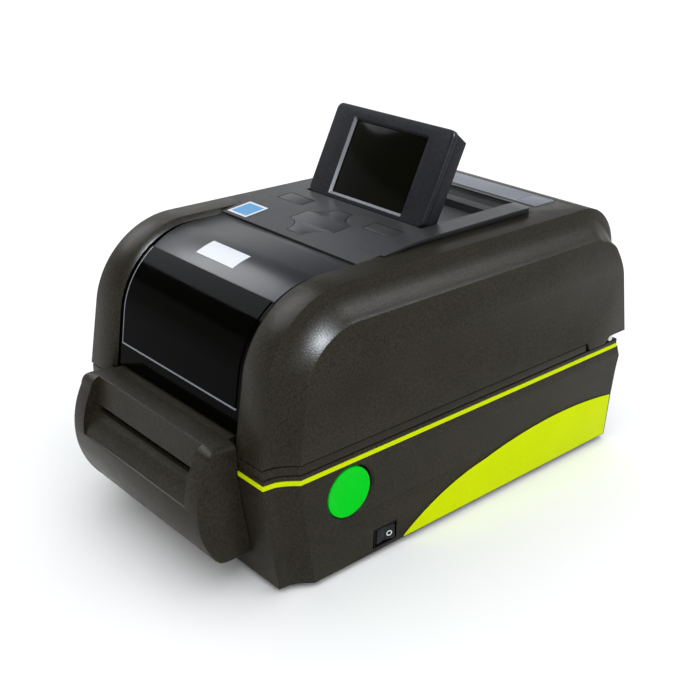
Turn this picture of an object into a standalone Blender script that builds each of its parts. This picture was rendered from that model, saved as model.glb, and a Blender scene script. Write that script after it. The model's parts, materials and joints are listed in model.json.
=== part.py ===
"""Desktop label printer with a front cutter and a flip-up screen.

Lengths below are in millimetres. x is to the printer's left-right, y runs from the front face to
the rear, z is up from the table. MM turns them into metres. Every piece hangs under one empty that
puts the origin at the bottom centre of the whole machine.
"""
from math import asin, cos, pi, radians, sin, tan

import bmesh
import bpy
from mathutils import Matrix, Vector

MM = 0.001
GAP = 0.3                     # clearance between touching pieces

# --- casing -----------------------------------------------------------------------------------
TOP_Z = 197.0                 # top of the cover
COVER_FRONT = (-150.5, 97.0)  # y, z of the cover's lower front edge
COVER_REAR = (198.8, 94.4)    # y, z of the cover's lower rear edge
FRONT_LEAN = radians(8.0)
REAR_LEAN = radians(10.5)
FRONT_ARC = 62.0              # radius where the front turns into the top
REAR_ARC = 36.0
SIDE_DEPTH = 20.4             # how far the side panel stands in from the arch's ridge
SIDE_DEPTH_LOW = 21.5         # the same at the cover's front foot
FADE_START = radians(60.0)    # place on the rear arc where the cove starts to run out
FADE_RUN = 57.0               # length over which it runs out
FADE_LEFT = 0.1               # share of the depth that stays at the foot
REAR_ROWS = (157.0, 148.0, 140.0)
SKIRT = ((150.0, 94.1), (153.0, 88.8), (171.5, 88.8), (178.8, 94.4))
COVER_EDGE_Z = 96.3
WALL = 3.0

BASE_FRONT, BASE_REAR = -150.0, 190.0
BASE_FLOOR_Z = 4.0
TUB_TOP_Z = 82.0
STRIPE_TOP_Z = 85.5
DECK_TOP_Z = 88.5
RIM_TOP_Z = 95.7
RIDGE_HALF, SIDE_HALF = 99.1, 108.5
# Levels of the lower casing: z, front and rear y, half width at the ridge and at the side.
TUB_LEVELS = ((BASE_FLOOR_Z, -137.2, 191.6, 97.2, 106.5), (41.0, -143.8, 192.9, 97.9, 107.4),
              (62.0, -147.4, 194.5, 98.6, 108.0), (73.0, -149.0, 196.2, 98.9, 108.3),
              (TUB_TOP_Z, BASE_FRONT, 192.1, RIDGE_HALF, SIDE_HALF))
SIDE_DRAFT = (SIDE_HALF - TUB_LEVELS[0][4]) / (TUB_TOP_Z - BASE_FLOOR_Z)

# --- front panel, keypad and screen -----------------------------------------------------------
PANEL_HALF = 66.0
PANEL_DEPTH = 4.0             # how far the front panel lies below the arch
PANEL_THICK = 2.5
WINDOW_FOOT_Z = 106.0
SEAM_Y = -52.5
GLOSS_ANGLE = radians(57.0)   # place on the front arc where the smoked window starts
DECK_HALF = 73.0
FLANGE_HALF = 76.0
DECK_REAR = 113.0
LCD_HALF, LCD_HEIGHT, LCD_THICK = 58.6, 68.3, 15.0
LCD_TILT = radians(64.2)
LCD_PIVOT = (20.5, 199.0)     # y, z of the screen's hinge
LCD_FRONT = 5.0               # thickness of the bezel's frame
RECESS_HALF, RECESS_FRONT, RECESS_REAR, RECESS_FLOOR = 60.0, 15.2, 110.5, 188.0

# --- cutter -----------------------------------------------------------------------------------
CUTTER_HALF = 75.0
CUTTER_FRONT = -180.5
CUTTER_TOP_Z = 103.9
CUTTER_GAP = 0.8              # clearance to the face of the base
CUTTER_ROUND = 6.0            # rounding of the two top ends
SLOT_LOW, SLOT_HIGH = 80.4, 85.4

# --- stickers ---------------------------------------------------------------------------------
WHITE_STICKER = (-26.5, 13.5, -105.8, -91.3)      # low and high x, low and high y
BLUE_STICKER = (-69.0, -47.5, -50.0, -29.5)
STICKER_THICK = 0.3

# --- mechanism --------------------------------------------------------------------------------
LID_HINGE = (188.0, 92.0)
PLATEN = (-122.0, 78.0)
PLATEN_R = 9.0
GEAR_MODULE = 1.0
PLATEN_TEETH, IDLER_TEETH, PINION_TEETH = 24, 30, 12
ROLL_Y, ROLL_Z = 30.0, 93.0   # axis of the label roll
BUTTON = (-88.2, 61.0)        # y, z of the release buttons
BUTTON_R = 17.7
ROCKER = (-54.3, 14.4)        # y, z of the power switch

ORIGIN_Y = (COVER_REAR[0] + CUTTER_FRONT) / 2

for old in list(bpy.data.objects):
    bpy.data.objects.remove(old, do_unlink=True)

PARTS = bpy.data.collections.new("label_printer")
CUTTERS = bpy.data.collections.new("cutters")
for group in (PARTS, CUTTERS):
    bpy.context.scene.collection.children.link(group)

ROOT = bpy.data.objects.new("machine_origin", None)
PARTS.objects.link(ROOT)
ROOT.location.y = -ORIGIN_Y * MM


# === helpers ==================================================================================
def material(name, colour, roughness, metallic=0.0):
    mat = bpy.data.materials.new(name)
    mat.use_nodes = True
    shader = mat.node_tree.nodes["Principled BSDF"]
    shader.inputs["Base Color"].default_value = (*colour, 1.0)
    shader.inputs["Roughness"].default_value = roughness
    shader.inputs["Metallic"].default_value = metallic
    return mat


def add(name, bm, mat=None, origin=(0, 0, 0), smooth=False):
    """Make an object from a bmesh in millimetres, with its origin at the given point.

    Without a material the object is a cutter.
    """
    bmesh.ops.recalc_face_normals(bm, faces=bm.faces)
    bmesh.ops.translate(bm, verts=bm.verts, vec=-Vector(origin))
    bmesh.ops.scale(bm, verts=bm.verts, vec=(MM, MM, MM))
    mesh = bpy.data.meshes.new(name)
    bm.to_mesh(mesh)
    bm.free()
    obj = bpy.data.objects.new(name, mesh)
    obj.parent = ROOT
    obj.location = Vector(origin) * MM
    if mat is None:
        CUTTERS.objects.link(obj)
        obj.hide_render = True
        obj.display_type = 'WIRE'
        return obj
    PARTS.objects.link(obj)
    mesh.materials.append(mat)
    if smooth:
        mesh.shade_smooth()
        mesh.set_sharp_from_angle(angle=radians(35))
    return obj


def cut(target, tool, operation='DIFFERENCE'):
    mod = target.modifiers.new(tool.name, 'BOOLEAN')
    mod.operation = operation
    mod.solver = 'EXACT'
    mod.object = tool
    return target


def join(target, tool):
    return cut(target, tool, 'UNION')


def bevel(obj, width, segments=2, angle=40):
    mod = obj.modifiers.new("edge", 'BEVEL')
    mod.width = width * MM
    mod.segments = segments
    mod.limit_method = 'ANGLE'
    mod.angle_limit = radians(angle)
    return obj


def box(name, low, high, mat=None, origin=(0, 0, 0)):
    bm = bmesh.new()
    bmesh.ops.create_cube(bm, size=1.0)
    size = Vector(high) - Vector(low)
    bmesh.ops.scale(bm, verts=bm.verts, vec=size)
    bmesh.ops.translate(bm, verts=bm.verts, vec=(Vector(high) + Vector(low)) / 2)
    return add(name, bm, mat, origin)


def rod(name, start, end, radius, mat=None, end_radius=None, sides=32, origin=(0, 0, 0)):
    """A cylinder or cone from start to end."""
    start, end = Vector(start), Vector(end)
    along = end - start
    bm = bmesh.new()
    bmesh.ops.create_cone(bm, cap_ends=True, segments=sides, radius1=radius,
                          radius2=radius if end_radius is None else end_radius,
                          depth=along.length)
    turn = along.to_track_quat('Z', 'Y').to_matrix().to_4x4()
    bmesh.ops.transform(bm, matrix=Matrix.Translation((start + end) / 2) @ turn, verts=bm.verts)
    return add(name, bm, mat, origin, smooth=True)


def prism(name, outline, low, high, axis='X', mat=None, origin=(0, 0, 0)):
    """Push a flat outline from low to high along an axis; the outline is in the other two."""
    place = {'X': lambda a, b: (low, a, b), 'Y': lambda a, b: (a, low, b),
             'Z': lambda a, b: (a, b, low)}[axis]
    step = {'X': (1, 0, 0), 'Y': (0, 1, 0), 'Z': (0, 0, 1)}[axis]
    bm = bmesh.new()
    face = bm.faces.new([bm.verts.new(place(a, b)) for a, b in outline])
    pushed = bmesh.ops.extrude_face_region(bm, geom=[face])["geom"]
    moved = [v for v in pushed if isinstance(v, bmesh.types.BMVert)]
    bmesh.ops.translate(bm, verts=moved, vec=Vector(step) * (high - low))
    return add(name, bm, mat, origin)


def loft(name, rings, mat=None, origin=(0, 0, 0)):
    """Skin between closed rings of equal length and cap the two ends."""
    bm = bmesh.new()
    rows = [[bm.verts.new(p) for p in ring] for ring in rings]
    for near, far in zip(rows, rows[1:]):
        count = len(near)
        for i in range(count):
            j = (i + 1) % count
            bm.faces.new((near[i], near[j], far[j], far[i]))
    bm.faces.new(rows[0])
    bm.faces.new(rows[-1])
    return add(name, bm, mat, origin)


def gear(name, centre, teeth, x_low, x_high, bore, mat):
    """A spur gear about the x axis with straight-flanked teeth and some backlash."""
    y, z = centre
    pitch = teeth * GEAR_MODULE / 2
    step = 2 * pi / teeth
    phase = 0 if (teeth // 2) % 2 == 0 else step / 2
    outline = []
    for n in range(teeth):
        for part, radius in ((-0.29, -1.15), (-0.13, 0.85), (0.13, 0.85), (0.29, -1.15)):
            angle = (n + part) * step + phase
            r = pitch + radius * GEAR_MODULE
            outline.append((y + r * cos(angle), z + r * sin(angle)))
    wheel = prism(name, outline, x_low, x_high, 'X', mat, (0, y, z))
    if bore:
        hole = rod(name + "_bore", (x_low - 1, y, z), (x_high + 1, y, z), bore, sides=24)
        cut(wheel, hole)
    return wheel


SIDES = (("left", -1), ("right", 1))


# === materials ================================================================================
BLACK = material("textured_black", (0.028, 0.026, 0.024), 0.55)
GLOSS = material("gloss_black", (0.008, 0.008, 0.009), 0.08)
LIME = material("lime", (0.58, 0.74, 0.01), 0.4)
GREEN = material("button_green", (0.01, 0.62, 0.06), 0.35)
RUBBER = material("rubber", (0.02, 0.02, 0.02), 0.85)
STEEL = material("steel", (0.6, 0.6, 0.62), 0.3, 1.0)
BRASS = material("bronze_bush", (0.55, 0.38, 0.15), 0.4, 1.0)
GREY = material("grey_plastic", (0.22, 0.22, 0.23), 0.5)
NATURAL = material("natural_plastic", (0.75, 0.74, 0.7), 0.45)
BOARD = material("circuit_board", (0.01, 0.16, 0.06), 0.5)
CERAMIC = material("head_ceramic", (0.32, 0.22, 0.14), 0.3)
PAPER = material("paper_label", (0.86, 0.88, 0.9), 0.6)
BLUE = material("blue_label", (0.05, 0.42, 0.75), 0.5)


# === casing outlines ==========================================================================
# Side profile of an edge that flares from the ridge to the side panel, first a steep wall and
# then a cove: share of the depth, share of the width.
FLARE = ((0.0, 0.0), (0.35, 0.14), (0.63, 0.33), (0.85, 0.62), (1.0, 1.0))


def smooth_step(t):
    t = min(1.0, max(0.0, t))
    return t * t * (3 - 2 * t)


def front_centre():
    """Centre (y, z) of the arc between the cover's front and top."""
    y, z = COVER_FRONT
    zc = TOP_Z - FRONT_ARC
    return y + (FRONT_ARC + (zc - z) * sin(FRONT_LEAN)) / cos(FRONT_LEAN), zc


def rear_centre():
    y, z = COVER_REAR
    zc = TOP_Z - REAR_ARC
    return y - (REAR_ARC + (zc - z) * sin(REAR_LEAN)) / cos(REAR_LEAN), zc


def rear_share(run):
    """Depth factor of the cove, which runs out down the rear of the cover."""
    return 1 - (1 - FADE_LEFT) * smooth_step(run / FADE_RUN)


def ridge_half(z):
    return RIDGE_HALF - (z - 90.0) * 0.056


def side_half(z):
    return 109.0 - (z - 96.0) * 0.024


def arch_rows(foot_z):
    """Rows of the cover's side profile: y, z, inward normal (y, z), depth factor."""
    y0, z0 = COVER_FRONT
    rows = [(y0 + (foot_z - z0) * tan(FRONT_LEAN), foot_z, 1, 0, SIDE_DEPTH_LOW / SIDE_DEPTH)]
    yc, zc = front_centre()
    steps = 9
    for i in range(steps + 1):
        a = FRONT_LEAN + (pi / 2 - FRONT_LEAN) * i / steps
        rows.append((yc - FRONT_ARC * cos(a), zc + FRONT_ARC * sin(a), cos(a), -sin(a), 1))
    yc, zc = rear_centre()
    steps = 6
    for i in range(steps + 1):
        a = pi / 2 - (pi / 2 - REAR_LEAN) * i / steps
        rows.append((yc + REAR_ARC * cos(a), zc + REAR_ARC * sin(a), -cos(a), -sin(a),
                     rear_share(REAR_ARC * (FADE_START - a))))
    y1, z1 = COVER_REAR
    bend_z = zc + REAR_ARC * sin(REAR_LEAN)
    for z in REAR_ROWS:
        run = REAR_ARC * (FADE_START - REAR_LEAN) + (bend_z - z) / cos(REAR_LEAN)
        rows.append((y1 + (z1 - z) * tan(REAR_LEAN), z, -cos(REAR_LEAN), -sin(REAR_LEAN),
                     rear_share(run)))
    rows.append((y1 + (z1 - foot_z) * tan(REAR_LEAN), foot_z, -1, 0, FADE_LEFT))
    return rows


def arch_solid(name, foot_z, section, mat=None, origin=(0, 0, 0)):
    """Sweep a cross-section over the arch.

    The section lists depth of the cove, wall below it, share of the width and inset.
    """
    bm = bmesh.new()
    grid = []
    for y, z, ny, nz, factor in arch_rows(foot_z):
        half = []
        for depth, wall, share, inset in section:
            d = depth * factor + wall
            zz = z + nz * d
            x = ridge_half(zz) + (side_half(zz) - ridge_half(zz)) * share - inset
            half.append((x, y + ny * d, zz))
        ring = [(-x, yy, zz) for x, yy, zz in reversed(half)] + half
        grid.append([bm.verts.new(p) for p in ring])
    for near, far in zip(grid, grid[1:]):
        for i in range(len(near) - 1):
            bm.faces.new((near[i], near[i + 1], far[i + 1], far[i]))
    bm.faces.new([row[0] for row in grid])
    bm.faces.new([row[-1] for row in grid])
    bm.faces.new(grid[0] + list(reversed(grid[-1])))
    return add(name, bm, mat, origin)


def plan(front, rear, ridge, side, corner=2.5, flare_depth=SIDE_DEPTH_LOW):
    """Plan outline of the base: flared front corners, round rear corners (x, y)."""
    half = [(ridge + (side - ridge) * share, front + flare_depth * depth)
            for depth, share in FLARE]
    steps = 3
    for i in range(steps + 1):
        a = pi / 2 * i / steps
        half.append((side - corner + corner * cos(a), rear - corner + corner * sin(a)))
    return half + [(-x, y) for x, y in reversed(half)]


# === base =====================================================================================
def tub_rings(inset):
    """The lower casing leans in towards the table and bulges at the rear."""
    rings = []
    for z, front, rear, ridge, side in TUB_LEVELS:
        if inset and z == BASE_FLOOR_Z:
            z += WALL
        elif inset and z == TUB_TOP_Z:
            z += 5
        outline = plan(front + inset, rear - inset, ridge - inset, side - inset)
        rings.append([(x, y, z) for x, y in outline])
    return rings


def base_tub():
    tub = loft("base_tub", tub_rings(0), BLACK)
    cut(tub, loft("tub_hollow", tub_rings(WALL)))
    # Opening behind the cutter for the label to leave by.
    cut(tub, box("tub_exit", (-60, -156, 74), (60, -140, 90)))
    for side, sign in SIDES:
        y, z = BUTTON
        cut(tub, rod("button_hole_" + side, (sign * 99, y, z), (sign * 112, y, z),
                     BUTTON_R + 0.6, sides=40))
        cut(tub, rod("button_scoop_" + side, (sign * 106.2, y + 1.2, z - 0.5),
                     (sign * 110.2, y + 1.2, z - 0.5), BUTTON_R, None, BUTTON_R + 5.5, 40))
    y, z = ROCKER
    cut(tub, box("rocker_window", (102, y - 10.9, z - 7.3), (112, y + 10.9, z + 7.3)))
    cut(tub, box("port_window", (-92, 183, 14), (64, 200, 31)))
    cut(tub, box("rear_media_slot", (-58, 180, 52), (58, 200, 60)))


def base_plates():
    """The stacked pieces over the tub: lime stripe, deck and raised rim."""
    stripe = prism("lime_stripe", plan(BASE_FRONT - 0.4, BASE_REAR + 0.2, RIDGE_HALF + 0.4,
                                       SIDE_HALF + 0.3), TUB_TOP_Z + GAP, STRIPE_TOP_Z, 'Z', LIME)
    cut(stripe, prism("stripe_hollow", plan(-146, 184, 95, 104, 6, 18), 80, 90, 'Z'))
    cut(stripe, box("stripe_exit", (-60, -156, 80), (60, -140, 90)))
    deck = prism("base_deck", plan(BASE_FRONT, BASE_REAR, RIDGE_HALF, SIDE_HALF),
                 STRIPE_TOP_Z + GAP, DECK_TOP_Z, 'Z', BLACK)
    cut(deck, prism("deck_hollow", plan(-138, 178, 92, 99, 4, 8), 80, 92, 'Z'))
    cut(deck, box("deck_exit", (-60, -156, 80), (60, -130, 92)))
    rim_rear = SKIRT[0][0] - 0.6
    rim = prism("deck_rim", plan(BASE_FRONT, rim_rear, RIDGE_HALF - 0.3, SIDE_HALF - 0.2, 0.4),
                DECK_TOP_Z + GAP, RIM_TOP_Z, 'Z', BLACK)
    cut(rim, prism("rim_hollow", plan(-146, 142, 94, 104, 2, 18), 80, 100, 'Z'))
    cut(rim, box("rim_exit", (-60, -156, 80), (60, -130, 100)))


def swoosh(side, sign):
    """Lime inlay on the side of the base: a rising curve from a tip at the front."""
    outline = [(-37.0, 5.2), (187.7, 5.2), (188.5, 40.5), (153, 44.4), (113, 45.6), (76, 42.3),
               (41.3, 36.5), (8.2, 28.6), (-10, 22.2), (-21.1, 17.0), (-31, 10.6)]
    panel = prism("swoosh_panel_" + side, outline, 0, 0.6, 'X', LIME)
    foot_half = TUB_LEVELS[0][4] + GAP
    for vert in panel.data.vertices:
        lean = SIDE_DRAFT * (vert.co.z / MM - BASE_FLOOR_Z)
        vert.co.x = sign * (vert.co.x + (foot_half + lean) * MM)
    if sign < 0:
        panel.data.flip_normals()


def release_button(side, sign):
    """Dished green button that slides in against a spring, with its latch pawl."""
    y, z = BUTTON
    origin = (sign * 106, y, z)
    face = 107.9
    button = rod("release_button_" + side, (sign * 98, y, z), (sign * face, y, z), BUTTON_R,
                 GREEN, sides=40, origin=origin)
    dish = rod("dish_" + side, (sign * (face - 1.4), y, z), (sign * (face + 0.6), y, z),
               BUTTON_R - 5, None, BUTTON_R - 1.0, 40)
    cut(button, dish)
    pawl = [(y - 6, z - 4), (y + 6, z - 4), (y + 6, z + 16), (y - 6, z + 16)]
    low, high = sorted((sign * 93.5, sign * 98.5))
    join(button, prism("latch_pawl_" + side, pawl, low, high))


def rocker_switch():
    y, z = ROCKER
    frame = box("rocker_frame", (98, y - 10.5, z - 7.0), (107.2, y + 10.5, z + 7.0), GREY)
    cut(frame, box("rocker_frame_hole", (99.5, y - 9, z - 6), (109, y + 9, z + 6)))
    shape = [(101.5, y - 7.6), (101.5, y + 7.6), (108.0, y + 7.6), (105.9, y), (106.6, y - 7.6)]
    prism("rocker_switch", shape, z - 5.4, z + 5.4, 'Z', BLACK, (102.0, y, z))


def feet():
    for i, (x, y) in enumerate(((-88, -112), (88, -112), (-88, 168), (88, 168)), start=1):
        rod(f"foot_{i}", (x, y, 0), (x, y, BASE_FLOOR_Z - GAP), 9.0, RUBBER, 10.0, 32)


def rear_ports():
    """Connectors on the rear edge of the main board."""
    rear = 190.9
    z = 15.5
    box("main_board", (-94, 20, z - 2), (66, 182, z - 0.4), BOARD)
    shells = (("power_inlet", -78, 16, 14, GREY), ("usb_port", -50, 12, 11, STEEL),
              ("serial_port", -20, 32, 12.5, STEEL), ("network_port", 14, 16, 13.5, STEEL),
              ("usb_host_port", 42, 14, 7.5, STEEL))
    for name, x, width, height, mat in shells:
        shell = box(name, (x - width / 2, 170, z), (x + width / 2, rear, z + height), mat)
        lip = 1.2
        if name == "power_inlet":
            hole = rod(name + "_bore", (x, 176, z + 7), (x, rear + 1, z + 7), 4.6)
            cut(shell, hole)
            join(shell, rod("power_inlet_pin", (x, 172, z + 7), (x, rear - 3, z + 7), 1.2,
                            sides=16))
        else:
            cut(shell, box(name + "_mouth", (x - width / 2 + lip, 176, z + lip),
                           (x + width / 2 - lip, rear + 1, z + height - lip)))


# === print mechanism in the base ==============================================================
def chassis():
    y, z = PLATEN
    outer, inner, low, top = 64.0, 62.6, 9.0, 84.0
    u = [(-outer, top), (-outer, low), (outer, low), (outer, top), (inner, top),
         (inner, low + 1.4), (-inner, low + 1.4), (-inner, top)]
    frame = prism("chassis", u, -131, -56, 'Y', STEEL)
    cut(frame, rod("platen_bore", (-70, y, z), (70, y, z), 6.1, sides=24))
    cut(frame, rod("motor_shaft_bore", (-70, *MOTOR), (-50, *MOTOR), 4.0, sides=20))
    cut(frame, rod("idler_bore", (-70, *IDLER), (-50, *IDLER), 3.2, sides=20))


def gear_centre(start, teeth_a, teeth_b, angle):
    reach = (teeth_a + teeth_b) * GEAR_MODULE / 2
    return (start[0] + reach * cos(angle), start[1] + reach * sin(angle))


IDLER = gear_centre(PLATEN, PLATEN_TEETH, IDLER_TEETH, 0.0)
MOTOR = gear_centre(IDLER, IDLER_TEETH, PINION_TEETH, 0.0)


def drive():
    """Platen roller, its bushes and the gear train to the stepper motor."""
    y, z = PLATEN
    origin = (0, y, z)
    rod("platen_shaft", (-76, y, z), (68, y, z), 4.0, STEEL, sides=24, origin=origin)
    roller = rod("platen_roller", (-56, y, z), (56, y, z), PLATEN_R, RUBBER, sides=40,
                 origin=origin)
    cut(roller, rod("roller_bore", (-60, y, z), (60, y, z), 4.3, sides=24))
    for side, sign in SIDES:
        bush = rod("platen_bush_" + side, (sign * 60.5, y, z), (sign * 66, y, z), 5.8, BRASS,
                   sides=24)
        cut(bush, rod("bush_bore_" + side, (sign * 58, y, z), (sign * 68, y, z), 4.3, sides=24))
    gear("platen_gear", PLATEN, PLATEN_TEETH, -75, -69, 4.3, NATURAL)
    idler = gear("idler_gear", IDLER, IDLER_TEETH, -75, -69, 0, NATURAL)
    join(idler, rod("idler_axle", (-70, *IDLER), (-62, *IDLER), 2.8, sides=20))
    pinion = gear("motor_pinion", MOTOR, PINION_TEETH, -75, -69, 0, BRASS)
    join(pinion, rod("motor_shaft", (-76, *MOTOR), (-62, *MOTOR), 2.5, sides=16))
    my, mz = MOTOR
    motor = box("stepper_motor", (-61.7, my - 19, mz - 34), (-28, my + 19, mz + 4), GREY)
    cut(motor, box("motor_relief", (-70, my - 6, mz - 6), (-57, my + 6, mz + 8)))
    bevel(motor, 2.0, 1)


def media_bay():
    """Liner of the roll bay, the two roll guides and the ramp towards the platen."""
    liner = box("media_bay_liner", (-90, -52, 36), (90, 172, 85.2), GREY)
    cut(liner, box("liner_hollow", (-88, -50, 38), (88, 170, 90)))
    cut(liner, box("liner_slot", (-58, 160, 50), (58, 180, 62)))
    for side, sign in SIDES:
        origin = (sign * 58, ROLL_Y, 38)
        plate = [(ROLL_Y - 24, 38.4), (ROLL_Y + 24, 38.4), (ROLL_Y + 18, ROLL_Z + 12),
                 (ROLL_Y + 8, ROLL_Z + 22), (ROLL_Y - 8, ROLL_Z + 22), (ROLL_Y - 18, ROLL_Z + 12)]
        low, high = sorted((sign * 59.5, sign * 62.5))
        guide = prism("media_guide_" + side, plate, low, high, 'X', NATURAL, origin)
        join(guide, rod("guide_hub_" + side, (sign * 60, ROLL_Y, ROLL_Z),
                        (sign * 50, ROLL_Y, ROLL_Z), 18, None, 11.5, 32))
    ramp = [(-110, 83.6), (-54, 82.6), (-54, 84.6), (-110, 85.6)]
    prism("paper_ramp", ramp, -58, 58, 'X', GREY)
    box("tear_bar", (-58, -138, 83.5), (58, -132.5, 85.6), STEEL)


# === cutter ===================================================================================
def face_y(z):
    """y of the cutter's back, which follows the leaning front of the base."""
    for (za, ya, *_), (zb, yb, *_) in zip(TUB_LEVELS, TUB_LEVELS[1:]):
        if z <= zb:
            return ya + (yb - ya) * (z - za) / (zb - za) - CUTTER_GAP
    return BASE_FRONT - CUTTER_GAP


CUTTER_PROFILE = ((face_y(CUTTER_TOP_Z), CUTTER_TOP_Z), (-164.5, CUTTER_TOP_Z), (-169.8, 101.2),
                  (-172.6, 95.5), (-177.6, 83.5), (-180.0, 72.5), (CUTTER_FRONT, 62.0),
                  (-178.9, 50.0), (-175.3, 39.4), (-168.5, 27.3), (-163.0, 23.6),
                  (face_y(22.5), 22.5), (face_y(41.0), 41.0), (face_y(62.0), 62.0),
                  (face_y(TUB_TOP_Z), TUB_TOP_Z))


def cutter_housing():
    housing = prism("cutter_housing", CUTTER_PROFILE, -CUTTER_HALF, CUTTER_HALF, 'X', BLACK)
    for side, sign in SIDES:
        x, z, r = CUTTER_HALF - CUTTER_ROUND, CUTTER_TOP_Z - CUTTER_ROUND, CUTTER_ROUND
        corner = [(sign * (x + r * cos(a)), z + r * sin(a)) for a in (pi / 2, pi / 4, 0)]
        corner += [(sign * (x + r + 5), z), (sign * (x + r + 5), z + r + 5), (sign * x, z + r + 5)]
        cut(housing, prism("cutter_shoulder_" + side, corner, -190, -140, 'Y'))
    lip = [(-149.9, 97.5), (-143.5, 97.5), (-143.5, 104.2), (-150.6, 103.9), (-160, 103.0),
           (-160, 98)]
    join(housing, prism("cutter_lip", lip, -65.5, 65.5, 'X'))
    recess = [(-165.5, 112), (-165.5, 101.5), (-169.5, 85.4), (-169.5, SLOT_LOW), (-179.4, 65.0),
              (-196, 60), (-196, 112)]
    cut(housing, prism("cutter_recess", recess, -61.5, 60.5, 'X'))
    hollow = [(-135, 96), (-162.5, 96), (-166.0, 80), (-174.5, 65), (-176.8, 57), (-175.2, 48),
              (-170.5, 38), (-162.5, 28), (-135, 28)]
    cut(housing, prism("cutter_hollow", hollow, -71.5, 71.5, 'X'))
    cut(housing, box("cutter_slot", (-57, -176, SLOT_LOW), (57, -160, SLOT_HIGH)))
    cut(housing, box("cutter_thumb_notch", (-68, -190, 27), (-60, -168.2, 32)))


def cutter_works():
    """Fixed and moving blades, their frame and the cutter motor."""
    frame = box("cutter_frame", (-64, -155.5, 40), (64, -153.0, 94), STEEL)
    cut(frame, box("frame_slot", (-57, -158, 78), (57, -150, 88)))
    box("cutter_fixed_blade", (-57, -158.4, 86.2), (57, -156.2, 93), STEEL)
    edge = [(-57, 66), (57, 66), (57, 76.5), (-57, 79.4)]
    prism("cutter_moving_blade", edge, -158.4, -156.4, 'Y', STEEL, (0, -157, 66))
    motor = rod("cutter_motor", (18, -162.5, 45), (58, -162.5, 45), 5.0, GREY, sides=28)
    join(motor, box("cutter_gearbox", (2, -167.5, 38), (19.5, -158.7, 54)))


# === cover ====================================================================================
HINGE = (0, *LID_HINGE)


def lid_shell():
    section = [(depth * SIDE_DEPTH, 0, share, 0) for depth, share in FLARE]
    shell = arch_solid("lid_shell", 80.0, section, BLACK, HINGE)
    inner = ((0, WALL, 0, WALL), (11.5, WALL, 0.05, WALL), (19.0, WALL, 0.5, WALL),
             (20.5, WALL, 1.0, WALL))
    cut(shell, arch_solid("lid_hollow", 70.0, inner))
    foot = [(-170, 70), (-170, COVER_EDGE_Z), (SKIRT[0][0], COVER_EDGE_Z), *SKIRT,
            (220, COVER_REAR[1]), (220, 70)]
    cut(shell, prism("lid_foot", foot, -130, 130, 'X'))
    cut(shell, box("lid_front_opening", (-PANEL_HALF - GAP, -170, 70),
                   (PANEL_HALF + GAP, SEAM_Y, 220)))
    cut(shell, box("lid_top_opening", (-DECK_HALF - GAP, SEAM_Y - 1, 150),
                   (DECK_HALF + GAP, DECK_REAR + 1.2, 220)))
    cut(shell, box("trim_pocket", (-66.5, 126, TOP_Z - 1.2), (66.5, 150, TOP_Z + 5)))
    return shell


def arch_strip(name, start, stop, mat, foot=None):
    """A curved panel below the arch, between two angles of the front arc."""
    yc, zc = front_centre()
    outer, inner = [], []
    deep = PANEL_DEPTH + PANEL_THICK
    steps = max(3, round((stop - start) / radians(9)))
    for i in range(steps + 1):
        a = start + (stop - start) * i / steps
        for line, d in ((outer, PANEL_DEPTH), (inner, deep)):
            r = FRONT_ARC - d
            line.append((yc - r * cos(a), zc + r * sin(a)))
    if foot is not None:
        for line in (outer, inner):
            y, z = line[0]
            line.insert(0, (y - (z - foot) * tan(FRONT_LEAN), foot))
    else:
        rise = 1.4            # the panel climbs slightly towards the keypad
        outer.append((SEAM_Y - GAP, TOP_Z - PANEL_DEPTH + rise))
        inner.append((SEAM_Y - GAP, TOP_Z - deep + rise))
    prism(name, outer + inner[::-1], -PANEL_HALF, PANEL_HALF, 'X', mat, HINGE)


def front_panel():
    arch_strip("smoked_window", FRONT_LEAN, GLOSS_ANGLE - 0.006, GLOSS, WINDOW_FOOT_Z)
    arch_strip("centre_panel", GLOSS_ANGLE, pi / 2, BLACK)


DECK_KNOTS = ((SEAM_Y, 195.4), (-16.0, 199.9), (4.0, 201.6), (108.0, 202.4), (114.0, 200.0))


def deck_surface(y):
    """Height of the keypad deck's top at y."""
    for (ya, za), (yb, zb) in zip(DECK_KNOTS, DECK_KNOTS[1:]):
        if y <= yb:
            return za + (zb - za) * (y - ya) / (yb - ya)
    return DECK_KNOTS[-1][1]


def keypad_deck():
    stations = (SEAM_Y, -16.0, 4.0, 108.0, DECK_REAR)
    top = [(y, deck_surface(y)) for y in stations]
    deck = prism("keypad_deck", top + [(DECK_REAR, 193.5), (SEAM_Y, 192.5)], -DECK_HALF, DECK_HALF,
                 'X', BLACK, HINGE)
    flange_start = -37.0
    flange = [(flange_start, TOP_Z + GAP)] + [(y, deck_surface(y)) for y in (-16.0, 4.0, 108.0)]
    flange += [(DECK_REAR + 1.5, TOP_Z + GAP)]
    join(deck, prism("deck_flange", flange, -FLANGE_HALF, FLANGE_HALF, 'X'))
    join(deck, box("recess_pan", (-62, RECESS_FRONT - 2, RECESS_FLOOR - 2),
                   (62, RECESS_REAR + 2, 198)))
    cut(deck, box("recess", (-RECESS_HALF, RECESS_FRONT, RECESS_FLOOR),
                  (RECESS_HALF, RECESS_REAR, 215)))
    cut(deck, rod("lcd_pivot_bores", (-64, *LCD_PIVOT), (64, *LCD_PIVOT), 1.6, sides=16))
    for name, outline in KEY_OUTLINES.items():
        cut(deck, prism(name + "_hole", offset(outline, 0.5), 180, 215, 'Z'))


def offset(outline, grow):
    """Grow a convex-ish outline from its centre by a constant distance per axis."""
    cx = (min(x for x, _ in outline) + max(x for x, _ in outline)) / 2
    cy = (min(y for _, y in outline) + max(y for _, y in outline)) / 2
    wide = max(x for x, _ in outline) - cx
    deep = max(y for _, y in outline) - cy
    return [(cx + (x - cx) * (1 + grow / wide), cy + (y - cy) * (1 + grow / deep))
            for x, y in outline]


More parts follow.
